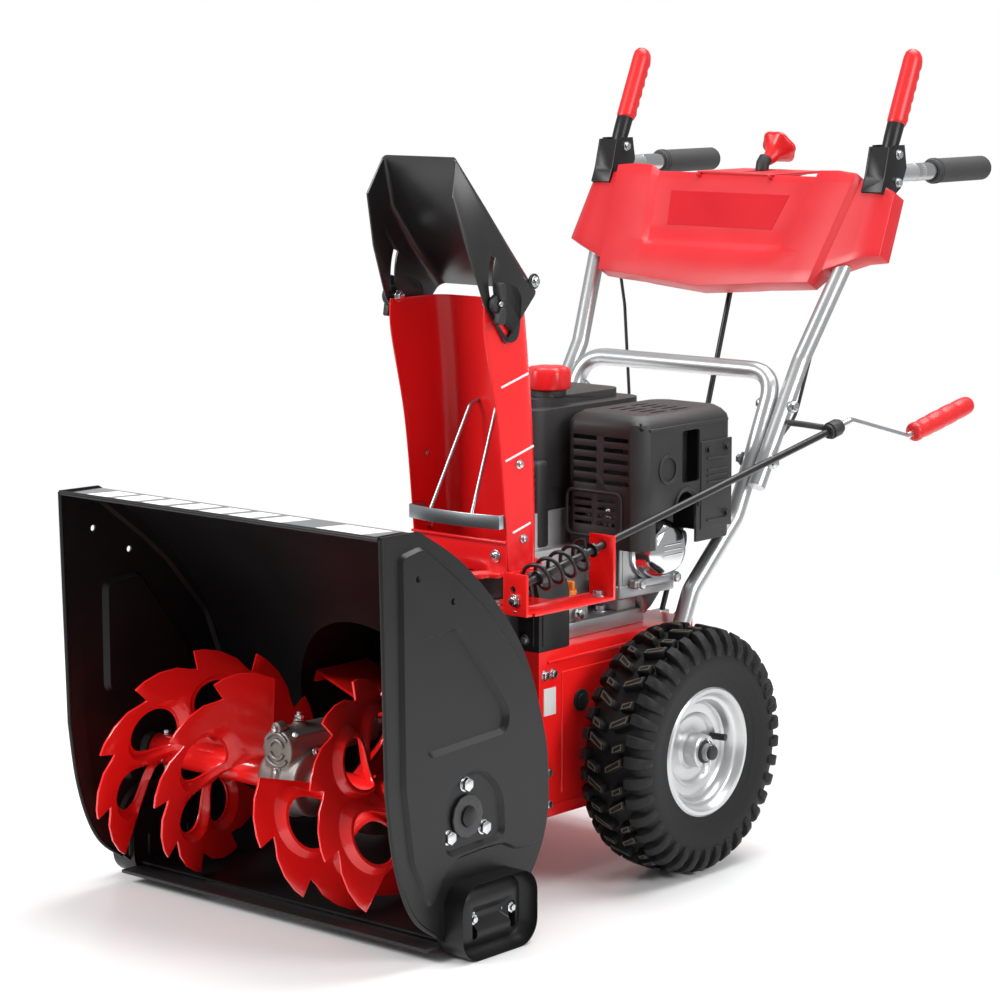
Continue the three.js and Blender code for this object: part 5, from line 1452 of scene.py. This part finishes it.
faces += [(border[k], border[(k + 1) % len(border)], first + (k + 1) % len(border), first + k)
          for k in range(len(border))]
face = mesh_piece("fascia_face", skin, faces)
edit(outward)
apply_modifier(face, "SOLIDIFY", thickness=3 * MM, offset=0)
shelf = block("shelf", (-70, 432, 896), (70, 548, 900), 1.5, 3)
carve(shelf, block("shelf_slot", (-9, 458, 880), (9, 540, 920), 3, 3))
shelf_legs = [slab_x("shelf_leg", [(425, 893), (440, 888), (540, 897.5), (540, 899), (425, 899)], k * 64 - 2,
                     k * 64 + 2) for k in (-1, 1)]
cheeks = [slab_x("pivot_cheek", [(362, 742), (374, 736), (484, 736), (484, 760), (412, 812), (394, 800)],
                 k * 16 - 2, k * 16 + 2)
          for k in (-1, 1)]
dash = merge([face, shelf] + shelf_legs + cheeks, "fascia")
rounded(dash, 0.9, 2, 40)
done(dash, fascia_red, "chassis", "red_plastic", "dashboard", angle=35)
badge_red = coating("badge_panel", (0.50, 0.003, 0.010), 0.2, grain=400, bump=0.02)
points = [on_fascia(u, v, lift) for lift in (-2.9, -2.1) for u,
          v in ((-106, 122), (106, 122), (94, 68), (-94, 68))]
badge_plate = mesh_piece("badge_blank", points, [(3, 2, 1, 0),
                                                 (4, 5, 6, 7)] + [(k, (k + 1) % 4, 4 + (k + 1) % 4, 4 + k)
                                                                  for k in range(4)])
edit(outward)
done(badge_plate, badge_red, "chassis", "red_plastic")

# ---------------------------------------------------------------------------
# Clutch levers: black flat bars pivoting in folded brackets clamped over the
# uprights, each dipped in a red sleeve with finger scallops on its back edge.
LEVER_Y = 462.0
LEVER_Z = 931.0
LEVER_LEAN = 0.415
for side, hand, body in ((1, "left", "lever_left"), (-1, "right", "lever_right")):
    def beside(distance, half_x, back, side=side):
        """One section of the lever; back is how far the rear edge stands out."""
        loop = []
        for k in range(20):
            turn = 2 * math.pi * k / 20
            reach = back if math.sin(turn) > 0 else min(back, 13.5)
            across = reach * math.sin(turn)
            y = LEVER_Y + distance * math.sin(LEVER_LEAN) + across * math.cos(LEVER_LEAN)
            z = LEVER_Z + distance * math.cos(LEVER_LEAN) - across * math.sin(LEVER_LEAN)
            loop.append(at(side * LEVER_X + half_x * math.cos(turn), y, z))
        return loop

    bar = lofted("lever_bar", [beside(-9, 9, 8.5), beside(0, 11, 10.5), beside(24, 12, 12),
                               beside(60, 12.2, 13)])
    rounded(bar, 1.0, 2, 40)
    done(bar, black_coat, body, "black_coat")
    bar.name = f"lever_bar_{hand}"
    sections = [beside(44, 9.4, 12.5), beside(46, 12.0, 14.6)]
    for k in range(48, 140, 3):
        sections.append(beside(k, 13.2, 17.4 - 1.7 * math.cos((k - 48) * 2 * math.pi / 16)))
    sections += [beside(144, 13, 16.5), beside(150, 11.4, 14.2), beside(155, 7.8, 9.6), beside(157.5, 3, 3.6)]
    dip = lofted("lever_dip", sections)
    done(dip, grip_red, body, "red_plastic", f"clutch_lever_{hand}", angle=60)
    dip.name = f"lever_sleeve_{hand}"
    done(eased(f"lever_bracket_{hand}", 1.0, 0.5), black_coat, "chassis", "black_coat", f"lever_bracket_{hand}")
    pins = [hex_bolt((side * LEVER_X + s * 17, LEVER_Y, LEVER_Z), (s, 0, 0), 10, 4, 7) for s in (-1, 1)]
    pins += [hex_bolt((side * LEVER_X + s * 17, 462, 892), (s, 0, 0), 10, 4, 7) for s in (-1, 1)]
    bolt_set(f"bracket_pins_{hand}", "chassis", pins)
    cable = bent_line([(side * 222, 452, 862), (side * 208, 415, 800), (side * 176, 398, 700),
                       (side * 150, 378, 560),
                       (side * 120, 300, 470), (side * 110, 200, 330), (side * 108, 134, 290)], 60)
    done(tube(f"clutch_cable_{hand}_sleeve", cable, 2.4, 4), grommet_black, "chassis", "soft_rubber",
         f"clutch_cable_{hand}")

# ---------------------------------------------------------------------------
# Speed selector: a black lever through the shelf with a rubber boot and a red
# lobed knob on a cone; a plated rod takes its motion down to the frame.
lever_line = bent_line([(0, 474, 748), (0, 492, 850), (0, 500, 905), (0, 528, 926)], 30)
stick = [tube("selector", lever_line, 6, 8), rod("selector_boss", "x", 11, -10, 10, (0, 474, 748), 32, 1.5),
         tube("selector_toe", [(0, 474, 748), (0, 430, 740)], 6, 8)]
done(merge(stick, "selector_lever"), satin_black, "shifter", "knob_plastic", "shift_lever")
knob_way = Vector((0, 0.83, 0.56)).normalized()
knob_up = Vector((0, -0.56, 0.83))
knob_loops = []
for distance, radius, lobe in ((-24, 8, 0), (-20, 9.5, 0), (-8, 12, 0.2), (2, 19, 0.6), (7, 25, 1.2),
                               (10, 27, 1.5), (14, 26.5, 1.4),
                               (16.5, 23, 1.0), (17.5, 17, 0.4), (14.5, 9, 0)):
    loop = []
    for k in range(60):
        turn = 2 * math.pi * k / 60
        reach = radius + lobe * math.cos(6 * turn)
        spot = Vector((0, 530, 927)) + knob_way * distance + knob_up * reach * math.sin(turn)
        loop.append(at(spot.x + reach * math.cos(turn), spot.y, spot.z))
    knob_loops.append(loop)
selector_knob = lofted("selector_knob", knob_loops)
rounded(selector_knob, 0.8, 2, 40)
done(selector_knob, cap_red, "shifter", "knob_plastic", angle=45)
boot_line = [(0, 497, 900), (0, 499, 910), (0, 506, 917)]
boot = tube("selector_boot", boot_line, 10, 6)
done(boot, grommet_black, "shifter", "knob_plastic")
linkage = bent_line([(0, 424, 732), (0, 374, 575), (0, 292, 343), (0, 262, 268)], 40)
done(tube("shift_linkage", linkage, 4, 6), satin_black, "shifter_rod", "bright_steel")
clevis = block("shift_clevis", (-9, 252, 244), (9, 274, 282), 2, 3)
done(clevis, zinc, "shifter_rod", "bright_steel", "shift_rod")
bolt_set("selector_pins", "chassis", [hex_bolt((s * 18, 474, 748), (s, 0, 0), 9, 4, 7) for s in (-1, 1)])
